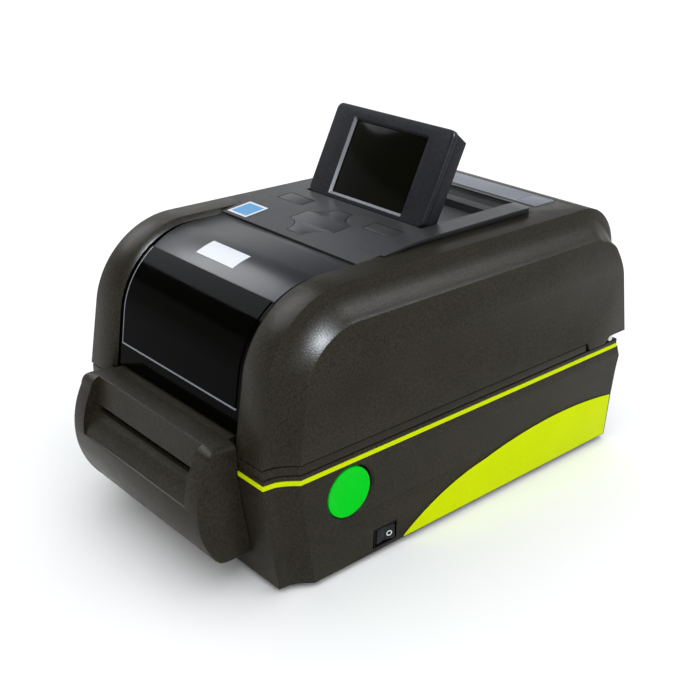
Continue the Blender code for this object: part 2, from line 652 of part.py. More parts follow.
def cross_outline(cx, cy, reach, arm):
    """A four-armed pad with concave corners between the arms."""
    quarter = []
    for i in range(5):
        a = pi / 2 * i / 4
        quarter.append((arm + (reach - arm) * (1 - sin(a)), arm + (reach - arm) * (1 - cos(a))))
    points = []
    for turn in range(4):
        c, s = round(cos(turn * pi / 2)), round(sin(turn * pi / 2))
        points += [(cx + c * x - s * y, cy + s * x + c * y) for x, y in quarter]
    return points


def rectangle(x0, y0, x1, y1):
    return [(x0, y0), (x1, y0), (x1, y1), (x0, y1)]


KEY_OUTLINES = {
    "key_left": rectangle(-60.5, -10.5, -34.0, 1.5),
    "key_right": rectangle(30.5, -10.5, 57.0, 1.5),
    "navigation_pad": cross_outline(0, -22, 22.5, 8.0),
}


def keys():
    for name, outline in KEY_OUTLINES.items():
        cy = sum(y for _, y in outline) / len(outline)
        cx = sum(x for x, _ in outline) / len(outline)
        key = prism(name, outline, 190.0, 215.0, 'Z', BLACK, (cx, cy, 196.0))
        above = [(y, deck_surface(y) + 0.2) for y in (-90, SEAM_Y, -16, 4, 12)]
        above += [(12, 230), (-90, 230)]
        cut(key, prism(name + "_top", above, -80, 80, 'X'))


def lcd():
    """Screen unit: built lying flat with its hinge at the origin, then tilted up."""
    bezel = box("lcd_bezel", (-LCD_HALF, 0, 0), (LCD_HALF, LCD_HEIGHT, LCD_FRONT), BLACK)
    heights = [v.co.z for v in bezel.data.vertices]
    weights = bezel.data.attributes.new("bevel_weight_edge", 'FLOAT', 'EDGE')
    for edge in bezel.data.edges:
        low, high = (heights[v] for v in edge.vertices)
        weights.data[edge.index].value = float(abs(high - low) > MM)
    bevel(bezel, 5.0, 4).modifiers["edge"].limit_method = 'WEIGHT'
    aperture = box("lcd_aperture", (-36, 4.5, -5), (36, 59, LCD_FRONT + 5))
    cut(bezel, aperture)
    housing = box("lcd_rear_housing", (-LCD_HALF + 2, 1, LCD_FRONT - LCD_THICK),
                  (LCD_HALF - 2, LCD_HEIGHT - 3.5, -GAP), BLACK)
    pocket = box("lcd_housing_pocket", (-41, 2.5, -4), (41, 61, 1))
    cut(housing, pocket)
    glass = box("lcd_glass", (-40, 3.5, -2.5), (40, 60, -GAP), GLOSS)
    barrel = rod("lcd_barrel", (-LCD_HALF + 2, 0, 0), (LCD_HALF - 2, 0, 0), 2.4, sides=20)
    pivots = rod("lcd_pivots", (-RECESS_HALF - 1.6, 0, 0), (RECESS_HALF + 1.6, 0, 0), 1.2, sides=16)
    channel = rod("lcd_channel", (-LCD_HALF - 2, 0, 0), (LCD_HALF + 2, 0, 0), 2.8, sides=20)
    join(housing, barrel)
    join(housing, pivots)
    cut(bezel, channel)
    cut(glass, channel)
    for obj in (bezel, housing, glass, pivots, barrel, channel, aperture, pocket):
        obj.location = Vector((0, *LCD_PIVOT)) * MM
        obj.rotation_euler.x = LCD_TILT


def stickers():
    x0, x1, y0, y1 = BLUE_STICKER
    sticker = prism("blue_sticker", rectangle(x0, y0, x1, y1), 0, STICKER_THICK, 'Z', BLUE, HINGE)
    for vert in sticker.data.vertices:
        vert.co.z += (deck_surface(vert.co.y / MM + HINGE[1]) + GAP) * MM
    yc, zc = front_centre()
    r = FRONT_ARC - PANEL_DEPTH
    x0, x1, y0, y1 = WHITE_STICKER
    steps = 4
    arcs = [pi / 2 - asin((yc - y0 - (y1 - y0) * i / steps) / r) for i in range(steps + 1)]
    low, high = r + GAP, r + GAP + STICKER_THICK
    outline = [(yc - low * cos(a), zc + low * sin(a)) for a in arcs]
    outline += [(yc - high * cos(a), zc + high * sin(a)) for a in reversed(arcs)]
    prism("white_sticker", outline, x0, x1, 'X', PAPER, HINGE)


def hinges_and_catches(shell):
    y, z = LID_HINGE
    deck = bpy.data.objects["base_deck"]
    for side, sign in SIDES:
        low, high = sorted((sign * 84, sign * 95))
        bracket = prism("hinge_bracket_" + side,
                        [(y - 9, DECK_TOP_Z - 1), (y - 0.5, DECK_TOP_Z - 1), (y + 3.2, z - 1),
                         (y + 2.6, z + 2.4), (y, z + 3.6), (y - 3.2, z + 2.2)], low, high)
        join(deck, bracket)
        cut(deck, rod("bracket_bore_" + side, (low - 1, y, z), (high + 1, y, z), 2.0, sides=20))
        low, high = sorted((sign * 78.5, sign * 83.4))
        ear = prism("hinge_arm_" + side,
                    [(y - 3.4, z - 1.5), (y, z - 3.3), (y + 2.6, z - 1), (y + 3, z + 3),
                     (y - 3.5, z + 26), (y - 10, z + 26)], low, high, 'X', STEEL, HINGE)
        join(ear, rod("hinge_pin_" + side, (sign * 82, y, z), (sign * 96, y, z), 1.7, sides=20))
        by, bz = BUTTON
        low, high = sorted((sign * 88, sign * 91))
        join(shell, prism("lid_catch_" + side,
                          [(by - 7, bz + 8), (by + 7, bz + 8), (by + 7, 150), (by - 7, 150)],
                          low, high))
        low, high = sorted((sign * 88, sign * 106.5))
        join(shell, box("lid_catch_arm_" + side, (low, by - 7, 144), (high, by + 7, 150)))


# === ribbon and print head unit, carried by the cover =========================================
SUPPLY = (-30.0, 158.0)
TAKE_UP = (-92.0, 150.0)
HEAD_PIVOT = (-84.0, 112.0)


def ribbon_unit():
    half, thick = 68.0, 1.2
    plate = [(-124, 92), (-60, 92), (-8, 140), (-8, 178), (-84, 178), (-118, 150)]
    frame = prism("ribbon_frame", plate, -half, half, 'X', STEEL, HINGE)
    cut(frame, box("ribbon_bay", (-half + thick, -130, 80), (half - thick, 0, 176.6)))
    cut(frame, box("ribbon_top_window", (-50, -78, 170), (50, -20, 185)))
    cut(frame, box("ribbon_front_window", (-half + thick, -130, 150), (half - thick, -94, 185)))
    join(frame, rod("head_pivot_rod", (-half + 0.5, *HEAD_PIVOT), (half - 0.5, *HEAD_PIVOT), 2.0,
                    sides=20))
    for label, (y, z) in (("supply", SUPPLY), ("take_up", TAKE_UP)):
        cut(frame, rod(f"{label}_holes", (-80, y, z), (80, y, z), 4.3, sides=20))
    for label, (y, z), radius in (("supply", SUPPLY, 12.0), ("take_up", TAKE_UP, 12.0)):
        origin = (0, y, z)
        spindle = rod(f"ribbon_{label}_spindle", (-55, y, z), (55, y, z), 9.0, NATURAL, sides=24,
                      origin=origin)
        for turn in range(3):
            a = turn * 2 * pi / 3
            rib = box(f"{label}_rib_{turn}", (-52, -1.2, 0), (52, 1.2, radius))
            rib.location = Vector(origin) * MM
            rib.rotation_euler.x = a
            join(spindle, rib)
        join(spindle, rod(f"{label}_axle", (-74, y, z), (72, y, z), 3.9, sides=20))
        join(spindle, rod(f"{label}_flange", (-58.5, y, z), (-54.5, y, z), 15.0, sides=32))


def print_head():
    """Thermal head on a sprung carrier that swings about a rod behind it."""
    pivot = (0, *HEAD_PIVOT)
    carrier = [(-131, 92.6), (-112, 92.6), (-80, 107), (-80, 116), (-88, 116), (-116, 96.4),
               (-131, 96.4)]
    body = prism("head_carrier", carrier, -56, 56, 'X', STEEL, pivot)
    cut(body, rod("head_pivot_bore", (-60, *pivot[1:]), (60, *pivot[1:]), 2.4, sides=20))
    box("print_head", (-55, -131, PLATEN[1] + PLATEN_R + 0.4), (55, -113, 92.3), CERAMIC, pivot)


base_tub()
base_plates()
for side_name, side_sign in SIDES:
    swoosh(side_name, side_sign)
    release_button(side_name, side_sign)
rocker_switch()
feet()
rear_ports()
chassis()
drive()
media_bay()
cutter_housing()
cutter_works()
cover = lid_shell()
front_panel()
keypad_deck()
keys()
lcd()
box("rear_trim", (-66, 126.5, TOP_Z - 0.9), (66, 149.5, TOP_Z + 0.3), GREY, HINGE)
stickers()
hinges_and_catches(cover)
ribbon_unit()
print_head()
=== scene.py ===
"""Desktop label printer: the finished look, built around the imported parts.

Lengths are in millimetres in the printer's own frame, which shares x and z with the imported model
and differs from it by SHIFT in y. x runs left to right, y from the front face to the rear, z is
up from the table.
"""

import json
from math import asin, atan2, cos, hypot, pi, radians, sin, tan

import bmesh
import bpy
from mathutils import Matrix, Vector


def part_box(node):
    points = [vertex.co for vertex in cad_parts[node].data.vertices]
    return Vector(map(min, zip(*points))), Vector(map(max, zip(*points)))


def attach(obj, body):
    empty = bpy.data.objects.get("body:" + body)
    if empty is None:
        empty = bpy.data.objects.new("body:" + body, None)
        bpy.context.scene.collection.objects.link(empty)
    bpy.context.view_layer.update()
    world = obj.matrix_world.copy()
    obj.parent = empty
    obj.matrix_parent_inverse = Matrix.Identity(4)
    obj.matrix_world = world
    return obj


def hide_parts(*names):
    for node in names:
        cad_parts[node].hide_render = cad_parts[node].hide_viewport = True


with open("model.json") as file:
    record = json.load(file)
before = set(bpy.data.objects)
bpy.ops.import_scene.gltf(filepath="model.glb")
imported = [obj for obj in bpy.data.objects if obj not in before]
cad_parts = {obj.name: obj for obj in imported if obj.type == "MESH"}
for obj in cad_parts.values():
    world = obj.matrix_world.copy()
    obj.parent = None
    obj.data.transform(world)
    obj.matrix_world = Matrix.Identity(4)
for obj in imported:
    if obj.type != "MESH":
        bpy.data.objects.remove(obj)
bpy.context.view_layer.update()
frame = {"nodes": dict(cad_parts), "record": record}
MM = 0.001
GAP = 0.3

RECORD = frame["record"]
SLOT = {part["node"]: part["material_slot"] for part in RECORD["subparts"]}
BODY = {node: body for body, nodes in RECORD["behaviour"]["bodies"].items() for node in nodes}

BASE_FRONT = -150.0
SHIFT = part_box("base_deck")[0].y / MM - BASE_FRONT


def corners(node):
    """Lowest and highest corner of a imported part, in the printer's frame."""
    low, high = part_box(node)
    return [Vector((p.x / MM, p.y / MM - SHIFT, p.z / MM)) for p in (low, high)]


# --- driving sizes ----------------------------------------------------------------------------
TOP_Z = 197.0
COVER_FRONT = (-150.5, 97.0)
COVER_REAR = (198.8, 94.4)
FRONT_LEAN, REAR_LEAN = radians(8.0), radians(10.5)
FRONT_ARC, REAR_ARC = 62.0, 36.0
SIDE_DEPTH, SIDE_DEPTH_LOW = 20.4, 21.5
FADE_START, FADE_RUN, FADE_LEFT = radians(60.0), 57.0, 0.1
REAR_ROWS = (162.0, 157.0, 152.0, 148.0, 144.0, 140.0)
SKIRT = ((150.0, 95.0), (153.0, 89.6), (171.5, 89.6), (177.8, 94.4))
COVER_EDGE_Z = 96.3
WALL = 3.0
BASE_REAR = 190.0
BASE_FLOOR_Z = corners("base_tub")[0].z
TUB_TOP_Z, STRIPE_TOP_Z, DECK_TOP_Z, RIM_TOP_Z = 82.0, 85.5, 88.5, 95.1
RIDGE_HALF, SIDE_HALF = 99.1, 108.5
SEAM_Y, SEAM_GAP = -52.5, 0.9
GLOSS_ANGLE = radians(57.0)
PANEL_HALF = 66.0
DECK_HALF, FLANGE_HALF, DECK_REAR = 73.0, 76.0, 113.0
RECESS_HALF, RECESS_FRONT, RECESS_REAR, RECESS_FLOOR = 60.0, 15.2, 110.5, 188.0
LCD_HALF, LCD_HEIGHT = 58.6, 68.3
LCD_TILT = radians(64.2)
LCD_PIVOT = (20.5, 199.0)
PANE_FOOT_Z, WINDOW_FOOT_Z = 122.5, 106.0
CUTTER_HALF, CUTTER_GAP = 75.0, 0.8
SLOT_LOW, SLOT_HIGH = 80.4, 85.4
BUTTON, BUTTON_R = (-88.2, 61.0), 17.7
ROCKER = (-54.3, 14.4)
SIDES = (("left", -1), ("right", 1))
HINGE = (188.0, 92.0)
HINGE_CAP = (181.2, 91.3)
CUTTER_TOP_Z = 103.9
SHOULDER = 6.0
LCD_OPENING = (-36.0, 4.5, 36.0, 59.0)
KEY_GAP, KEY_LIFT = 0.6, 0.05
UNDERCUT = 1.6
FLANGE_CORNER, FLANGE_OVER = 11.0, 1.4


# === shapes ===================================================================================
def solid(bm):
    bmesh.ops.recalc_face_normals(bm, faces=bm.faces)
    return bm


def block(low, high):
    bm = bmesh.new()
    bmesh.ops.create_cube(bm, size=1.0)
    bmesh.ops.scale(bm, verts=bm.verts, vec=Vector(high) - Vector(low))
    bmesh.ops.translate(bm, verts=bm.verts, vec=(Vector(high) + Vector(low)) / 2)
    return bm


def rod(start, end, radius, end_radius=None, sides=64):
    start, end = Vector(start), Vector(end)
    along = end - start
    bm = bmesh.new()
    bmesh.ops.create_cone(bm, cap_ends=True, segments=sides, radius1=radius,
                          radius2=radius if end_radius is None else end_radius,
                          depth=along.length)
    turn = along.to_track_quat('Z', 'Y').to_matrix().to_4x4()
    bmesh.ops.transform(bm, matrix=Matrix.Translation((start + end) / 2) @ turn, verts=bm.verts)
    return bm


def prism(outline, low, high, axis='X'):
    """Push a flat outline from low to high along an axis; the outline is in the other two."""
    place = {'X': lambda a, b: (low, a, b), 'Y': lambda a, b: (a, low, b),
             'Z': lambda a, b: (a, b, low)}[axis]
    step = {'X': (1, 0, 0), 'Y': (0, 1, 0), 'Z': (0, 0, 1)}[axis]
    bm = bmesh.new()
    face = bm.faces.new([bm.verts.new(place(a, b)) for a, b in outline])
    pushed = bmesh.ops.extrude_face_region(bm, geom=[face])["geom"]
    moved = [v for v in pushed if isinstance(v, bmesh.types.BMVert)]
    bmesh.ops.translate(bm, verts=moved, vec=Vector(step) * (high - low))
    return solid(bm)


def loft(rings):
    """Skin between closed rings of equal length and cap the two ends."""
    bm = bmesh.new()
    rows = [[bm.verts.new(p) for p in ring] for ring in rings]
    for near, far in zip(rows, rows[1:]):
        for i in range(len(near)):
            j = (i + 1) % len(near)
            bm.faces.new((near[i], near[j], far[j], far[i]))
    bm.faces.new(rows[0])
    bm.faces.new(rows[-1])
    return solid(bm)


def turned(profile, centre, sides=96, axis='X', sign=1):
    """Turn a profile of (distance along the axis, radius) about an axis through centre."""
    rings = []
    for along, radius in profile:
        ring = []
        for i in range(sides):
            a = 2 * pi * i / sides
            u, v = radius * cos(a), radius * sin(a)
            ring.append({'X': (sign * along, centre[0] + u, centre[1] + v),
                         'Z': (centre[0] + u, centre[1] + v, along)}[axis])
        rings.append(ring)
    return loft(rings)


def boolean(bm, tool, operation):
    made = []
    for name, source in (("body", bm), ("tool", tool)):
        mesh = bpy.data.meshes.new(name)
        source.to_mesh(mesh)
        source.free()
        obj = bpy.data.objects.new(name, mesh)
        bpy.context.scene.collection.objects.link(obj)
        made.append(obj)
    mod = made[0].modifiers.new("boolean", 'BOOLEAN')
    mod.object, mod.operation, mod.solver = made[1], operation, 'EXACT'
    graph = bpy.context.evaluated_depsgraph_get()
    result = bmesh.new()
    result.from_mesh(made[0].evaluated_get(graph).to_mesh())
    for obj in made:
        mesh = obj.data
        bpy.data.objects.remove(obj)
        bpy.data.meshes.remove(mesh)
    return result


def cut(bm, *tools):
    for tool in tools:
        bm = boolean(bm, tool, 'DIFFERENCE')
    return bm


def join(bm, *tools):
    for tool in tools:
        bm = boolean(bm, tool, 'UNION')
    return bm


def common(bm, tool):
    return boolean(bm, tool, 'INTERSECT')


def rounded(bm, width, segments=2, angle=35, merge=0.02, keep=None):
    """Round every edge sharper than the angle; keep chooses which of them."""
    bmesh.ops.remove_doubles(bm, verts=bm.verts, dist=merge)
    solid(bm)
    edges = [e for e in bm.edges if len(e.link_faces) == 2
             and e.calc_face_angle(0.0) > radians(angle) and (keep is None or keep(e))]
    bmesh.ops.bevel(bm, geom=edges, offset=width, offset_type='OFFSET', segments=segments,
                    profile=0.5, affect='EDGES', clamp_overlap=True)
    return bm


def place(name, bm, material, body, slot, nodes=(), smooth=32):
    """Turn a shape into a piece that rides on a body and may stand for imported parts."""
    bmesh.ops.remove_doubles(bm, verts=bm.verts, dist=0.002)
    solid(bm)
    bmesh.ops.translate(bm, verts=bm.verts, vec=(0, SHIFT, 0))
    bmesh.ops.scale(bm, verts=bm.verts, vec=(MM, MM, MM))
    mesh = bpy.data.meshes.new(name)
    bm.to_mesh(mesh)
    bm.free()
    mesh.materials.append(material)
    mesh.shade_smooth()
    mesh.set_sharp_from_angle(angle=radians(smooth))
    obj = bpy.data.objects.new(name, mesh)
    bpy.context.scene.collection.objects.link(obj)
    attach(obj, body)
    if nodes:
        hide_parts(*nodes)
    return obj


def skin(node, bm, material, smooth=32):
    """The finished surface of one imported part."""
    return place(node + "_skin", bm, material, BODY[node], SLOT[node], (node,), smooth)


def detail(name, bm, material, node, smooth=32):
    """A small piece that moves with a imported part."""
    return place(name, bm, material, BODY[node], SLOT[node], (), smooth)


def refined(node, material, width=0.4, segments=2, angle=30):
    """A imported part's own shape with its facets merged and its edges rounded."""
    bm = bmesh.new()
    bm.from_mesh(frame["nodes"][node].data)
    bmesh.ops.scale(bm, verts=bm.verts, vec=(1 / MM,) * 3)
    bmesh.ops.translate(bm, verts=bm.verts, vec=(0, -SHIFT, 0))
    bmesh.ops.remove_doubles(bm, verts=bm.verts, dist=0.01)
    bmesh.ops.dissolve_limit(bm, angle_limit=radians(0.5), verts=bm.verts, edges=bm.edges)
    if width:
        bm = rounded(bm, width, segments, angle)
    return skin(node, bm, material)


# === materials ================================================================================
def ranged(tree, value, start, end, low, high):
    """Map a socket's values from start..end to low..high."""
    node = tree.nodes.new("ShaderNodeMapRange")
    for key, number in (("From Min", start), ("From Max", end), ("To Min", low), ("To Max", high)):
        node.inputs[key].default_value = number
    tree.links.new(value, node.inputs["Value"])
    return node.outputs["Result"]


class Nodes:
    """Short hand for building a node tree around a Principled shader."""

    def __init__(self, name, colour, roughness, metallic=0.0):
        self.mat = bpy.data.materials.new(name)
        self.mat.use_nodes = True
        self.tree = self.mat.node_tree
        self.shader = self.tree.nodes["Principled BSDF"]
        self.set("Base Color", (*colour, 1.0))
        self.set("Roughness", roughness)
        self.set("Metallic", metallic)
        self.where = self.add("ShaderNodeTexCoord").outputs["Object"]

    def set(self, name, value):
        self.shader.inputs[name].default_value = value

    def add(self, kind, **values):
        node = self.tree.nodes.new(kind)
        for key, value in values.items():
            if key in node.inputs:
                node.inputs[key].default_value = value
            else:
                setattr(node, key, value)
        return node

    def link(self, a, b):
        self.tree.links.new(a, b)

    def noise(self, size, detail=2.0, stretch=None):
        """Noise whose cells are about size millimetres."""
        node = self.add("ShaderNodeTexNoise", Scale=1 / (size * MM), Detail=detail)
        source = self.where
        if stretch:
            mapping = self.add("ShaderNodeMapping")
            mapping.inputs["Scale"].default_value = stretch
            self.link(source, mapping.inputs["Vector"])
            source = mapping.outputs["Vector"]
        self.link(source, node.inputs["Vector"])
        return node.outputs["Fac"]

    def ranged(self, value, low, high, start=0.3, end=0.7):
        return ranged(self.tree, value, start, end, low, high)

    def mix(self, factor, a, b, blend='MIX'):
        node = self.add("ShaderNodeMix", data_type='RGBA', blend_type=blend)
        sockets = [s for s in node.inputs if s.type == 'RGBA']
        for socket, value in zip([node.inputs["Factor"], *sockets], (factor, a, b)):
            if isinstance(value, bpy.types.NodeSocket):
                self.link(value, socket)
            elif isinstance(value, (int, float)):
                socket.default_value = value
            else:
                socket.default_value = (*value, 1.0)
        return node.outputs["Result"]

    def math(self, operation, a, b=0.0):
        node = self.add("ShaderNodeMath", operation=operation)
        for socket, value in zip(node.inputs, (a, b)):
            if isinstance(value, bpy.types.NodeSocket):
                self.link(value, socket)
            else:
                socket.default_value = value
        return node.outputs["Value"]

    def bump(self, height, depth, strength=1.0):
        """Raise the surface by depth millimetres where height is 1."""
        node = self.add("ShaderNodeBump", Strength=strength, Distance=depth * MM)
        self.link(height, node.inputs["Height"])
        previous = self.shader.inputs["Normal"].links
        if previous:
            self.link(previous[0].from_socket, node.inputs["Normal"])
        self.link(node.outputs["Normal"], self.shader.inputs["Normal"])


def plastic(name, colour, roughness, grain=0.5, depth=0.02, specular=0.5, spread=0.12,
            drift=0.03, speckle=0.05):
    """Moulded plastic: fine spark-eroded grain, uneven gloss, slight colour drift."""
    n = Nodes(name, colour, roughness)
    n.set("Specular IOR Level", specular)
    dark = tuple(c * (1 - spread) for c in colour)
    light = tuple(c * (1 + spread) for c in colour)
    tone = n.mix(n.ranged(n.noise(35.0, 3.0), 0.0, 1.0), dark, light)
    speck = n.ranged(n.noise(grain * 1.2, 1.0), 1 - speckle, 1 + speckle)
    tone = n.mix(1.0, tone, speck, 'MULTIPLY')
    n.link(tone, n.shader.inputs["Base Color"])
    gloss = n.ranged(n.noise(12.0, 4.0), roughness - drift, roughness + drift)
    n.link(gloss, n.shader.inputs["Roughness"])
    n.bump(n.noise(grain, 3.0), depth)
    return n.mat


def polished(name, colour, roughness, coat=0.5, specular=0.5):
    """Glossy moulded surface with faint waviness and wiping haze."""
    n = Nodes(name, colour, roughness)
    n.set("Specular IOR Level", specular)
    n.set("Coat Weight", coat)
    n.set("Coat Roughness", 0.05)
    haze = n.noise(18.0, 5.0, (1.0, 0.35, 0.35))
    n.link(n.ranged(haze, roughness, roughness + 0.09), n.shader.inputs["Roughness"])
    drift = n.ranged(n.noise(60.0, 2.0), 0.0, 1.0)
    n.link(n.mix(drift, tuple(c * 0.9 for c in colour), tuple(c * 1.12 for c in colour)),
           n.shader.inputs["Base Color"])
    n.bump(n.noise(25.0, 1.0), 0.02)
    return n.mat


def metal(name, colour, roughness, stretch=(1.0, 12.0, 12.0), grain=1.2):
    """Brushed or ground metal; the scratches run along the axis with the small stretch."""
    n = Nodes(name, colour, roughness, 1.0)
    brush = n.noise(grain, 3.0, stretch)
    n.link(n.ranged(brush, roughness - 0.08, roughness + 0.12), n.shader.inputs["Roughness"])
    stain = n.ranged(n.noise(22.0, 4.0), 0.0, 1.0)
    n.link(n.mix(stain, tuple(c * 0.86 for c in colour), colour), n.shader.inputs["Base Color"])
    n.bump(brush, 0.006)
    return n.mat


def circuit_board():
    """Solder mask with darker copper runs under it."""
    n = Nodes("circuit_board", (0.01, 0.16, 0.06), 0.35)
    cells = n.add("ShaderNodeTexBrick", Scale=1 / (9 * MM))
    cells.inputs["Mortar Size"].default_value = 0.035
    n.link(n.where, cells.inputs["Vector"])
    n.link(n.mix(n.math('SUBTRACT', 1.0, cells.outputs["Fac"]), (0.02, 0.24, 0.09),
                 (0.008, 0.11, 0.045)), n.shader.inputs["Base Color"])
    n.link(n.ranged(n.noise(2.0, 3.0), 0.28, 0.42), n.shader.inputs["Roughness"])
    n.bump(cells.outputs["Fac"], 0.05)
    return n.mat


def paper(name, colour):
    n = Nodes(name, colour, 0.55)
    fibre = n.noise(0.5, 4.0, (1.0, 2.5, 1.0))
    n.link(n.mix(n.ranged(fibre, 0.0, 1.0), tuple(c * 0.93 for c in colour), colour),
           n.shader.inputs["Base Color"])
    n.link(n.ranged(n.noise(4.0, 3.0), 0.48, 0.62), n.shader.inputs["Roughness"])
    n.bump(fibre, 0.01)
    return n.mat


BLACK = plastic("textured_black", (0.020, 0.0168, 0.0105), 0.34, 1.0, 0.1, 0.09, speckle=0.4)
DECK_BLACK = plastic("deck_black", (0.013, 0.013, 0.0145), 0.38, 0.9, 0.08, 0.38, speckle=0.4)
BEZEL_BLACK = plastic("bezel_black", (0.012, 0.012, 0.015), 0.38, 0.9, 0.08, 0.12, speckle=0.45)
SATIN = plastic("satin_black", (0.012, 0.012, 0.014), 0.29, 0.7, 0.012, 0.3, 0.12, 0.01, 0.2)
PANEL_GLOSS = polished("smoked_gloss", (0.0008, 0.0008, 0.0005), 0.05, 0.0, 0.015)
GLASS = polished("screen_glass", (0.0035, 0.0035, 0.002), 0.08, 0.0, 0.03)
# Near-black gloss of the rocker's frame: its own black, darkened further as painted shade for the
# pocket round the rocker.
SWITCH_BLACK_AND_SHADE = polished("switch_black_and_shade", (0.002, 0.002, 0.002), 0.2, 0.0, 0.1)
LIME = plastic("lime", (0.55, 0.67, 0.0005), 0.45, 0.6, 0.008, 0.02, 0.02)
GREEN = plastic("button_green", (0.0005, 0.56, 0.014), 0.3, 0.6, 0.006, 0.03, 0.04)
RUBBER = plastic("rubber", (0.018, 0.018, 0.018), 0.78, 0.8, 0.04, 0.3)
STEEL = metal("plated_steel", (0.56, 0.56, 0.57), 0.3)
BLADE = metal("ground_steel", (0.68, 0.68, 0.69), 0.2, (14.0, 14.0, 1.0))
BRONZE = metal("sintered_bronze", (0.50, 0.33, 0.13), 0.42, (1.0, 1.0, 1.0), 0.5)
GREY = plastic("grey_plastic", (0.085, 0.085, 0.09), 0.5, 0.5, 0.02, 0.45)
# Light bluish grey of the rear trim; also used for the painted highlight along the smoked pane's
# foot and left edge.
TRIM_AND_HIGHLIGHT_GREY = plastic("trim_and_highlight_grey", (0.17, 0.18, 0.21), 0.42, 0.5, 0.012, 0.45)
# Pale grey for the screen opening's left and lower walls: a painted highlight.
APERTURE_HIGHLIGHT_GREY = plastic("aperture_highlight_grey", (0.13, 0.135, 0.15), 0.4, 0.5, 0.01, 0.3)
NATURAL = plastic("natural_plastic", (0.72, 0.70, 0.64), 0.42, 0.7, 0.01, 0.5, 0.04)
CERAMIC = polished("head_ceramic", (0.30, 0.20, 0.13), 0.2, 0.3)
BOARD = circuit_board()
WHITE = paper("white_label", (0.60, 0.62, 0.68))
BLUE = paper("blue_label", (0.025, 0.25, 0.52))
INK = plastic("switch_mark", (0.62, 0.62, 0.62), 0.5, 0.3, 0.004)


# === casing outlines ==========================================================================
def ridge_half(z):
    return RIDGE_HALF - (z - 90.0) * 0.056


def side_half(z):
    return 109.0 - (z - 96.0) * 0.024


def flare(steps=8):
    """Shares of depth and width from the arch's ridge to the side panel: a wall, then a cove."""
    start, pull, end = (0.38, 0.09), (0.70, 0.34), (1.0, 1.0)
    points = [(0.0, 0.0), (start[0] - 0.01, start[1] - 0.002)]
    for t in (0.0, 0.02, *((i + 1) / steps for i in range(steps))):
        points.append(tuple((1 - t) ** 2 * a + 2 * t * (1 - t) * b + t * t * c
                            for a, b, c in zip(start, pull, end)))
    return points


def front_centre():
    y0, z0 = COVER_FRONT
    zc = TOP_Z - FRONT_ARC
    return y0 + (FRONT_ARC + (zc - z0) * sin(FRONT_LEAN)) / cos(FRONT_LEAN), zc


def rear_centre():
    y1, z1 = COVER_REAR
    zc = TOP_Z - REAR_ARC
    return y1 - (REAR_ARC + (zc - z1) * sin(REAR_LEAN)) / cos(REAR_LEAN), zc


def ease(t):
    t = min(1.0, max(0.0, t))
    return t * t * (3 - 2 * t)


def rear_share(run):
    """Depth factor of the cove, which runs out down the rear of the cover."""
    return 1 - (1 - FADE_LEFT) * ease(run / FADE_RUN)


def arch_rows(foot_z, front_steps=32, rear_steps=18):
    """Rows of the cover's side profile: y, z, inward normal (y, z), depth factor."""
    y0, z0 = COVER_FRONT
    rows = [(y0 + (foot_z - z0) * tan(FRONT_LEAN), foot_z, 1, 0, SIDE_DEPTH_LOW / SIDE_DEPTH)]
    yc, zc = front_centre()
    for i in range(front_steps + 1):
        a = FRONT_LEAN + (pi / 2 - FRONT_LEAN) * i / front_steps
        rows.append((yc - FRONT_ARC * cos(a), zc + FRONT_ARC * sin(a), cos(a), -sin(a), 1))
    yc, zc = rear_centre()
    for i in range(rear_steps + 1):
        a = pi / 2 - (pi / 2 - REAR_LEAN) * i / rear_steps
        rows.append((yc + REAR_ARC * cos(a), zc + REAR_ARC * sin(a), -cos(a), -sin(a),
                     rear_share(REAR_ARC * (FADE_START - a))))
    y1, z1 = COVER_REAR
    bend_z = zc + REAR_ARC * sin(REAR_LEAN)
    for z in REAR_ROWS:
        run = REAR_ARC * (FADE_START - REAR_LEAN) + (bend_z - z) / cos(REAR_LEAN)
        rows.append((y1 + (z1 - z) * tan(REAR_LEAN), z, -cos(REAR_LEAN), -sin(REAR_LEAN),
                     rear_share(run)))
    rows.append((y1 + (z1 - foot_z) * tan(REAR_LEAN), foot_z, -1, 0, FADE_LEFT))
    return rows


def arch_solid(foot_z, section, front_steps=32, rear_steps=18):
    """Sweep a cross-section over the arch.

    The section lists depth of the cove, wall below it, share of the width and inset.
    """
    bm = bmesh.new()
    grid = []
    for y, z, ny, nz, factor in arch_rows(foot_z, front_steps, rear_steps):
        half = []
        for depth, wall, share, inset in section:
            d = depth * factor + wall
            zz = z + nz * d
            x = ridge_half(zz) + (side_half(zz) - ridge_half(zz)) * share - inset
            half.append((x, y + ny * d, zz))
        ring = [(-x, yy, zz) for x, yy, zz in reversed(half)] + half
        grid.append([bm.verts.new(p) for p in ring])
    for near, far in zip(grid, grid[1:]):
        for i in range(len(near) - 1):
            bm.faces.new((near[i], near[i + 1], far[i + 1], far[i]))
    bm.faces.new([row[0] for row in grid])
    bm.faces.new([row[-1] for row in grid])
    bm.faces.new(grid[0] + list(reversed(grid[-1])))
    return solid(bm)


def lean_row(z):
    """A row of the arch's leaning front at height z."""
    fy, fz = front_centre()
    rise = fz + FRONT_ARC * sin(FRONT_LEAN) - z
    return (fy - FRONT_ARC * cos(FRONT_LEAN) - rise * tan(FRONT_LEAN), z, cos(FRONT_LEAN),
            -sin(FRONT_LEAN), 0.0)


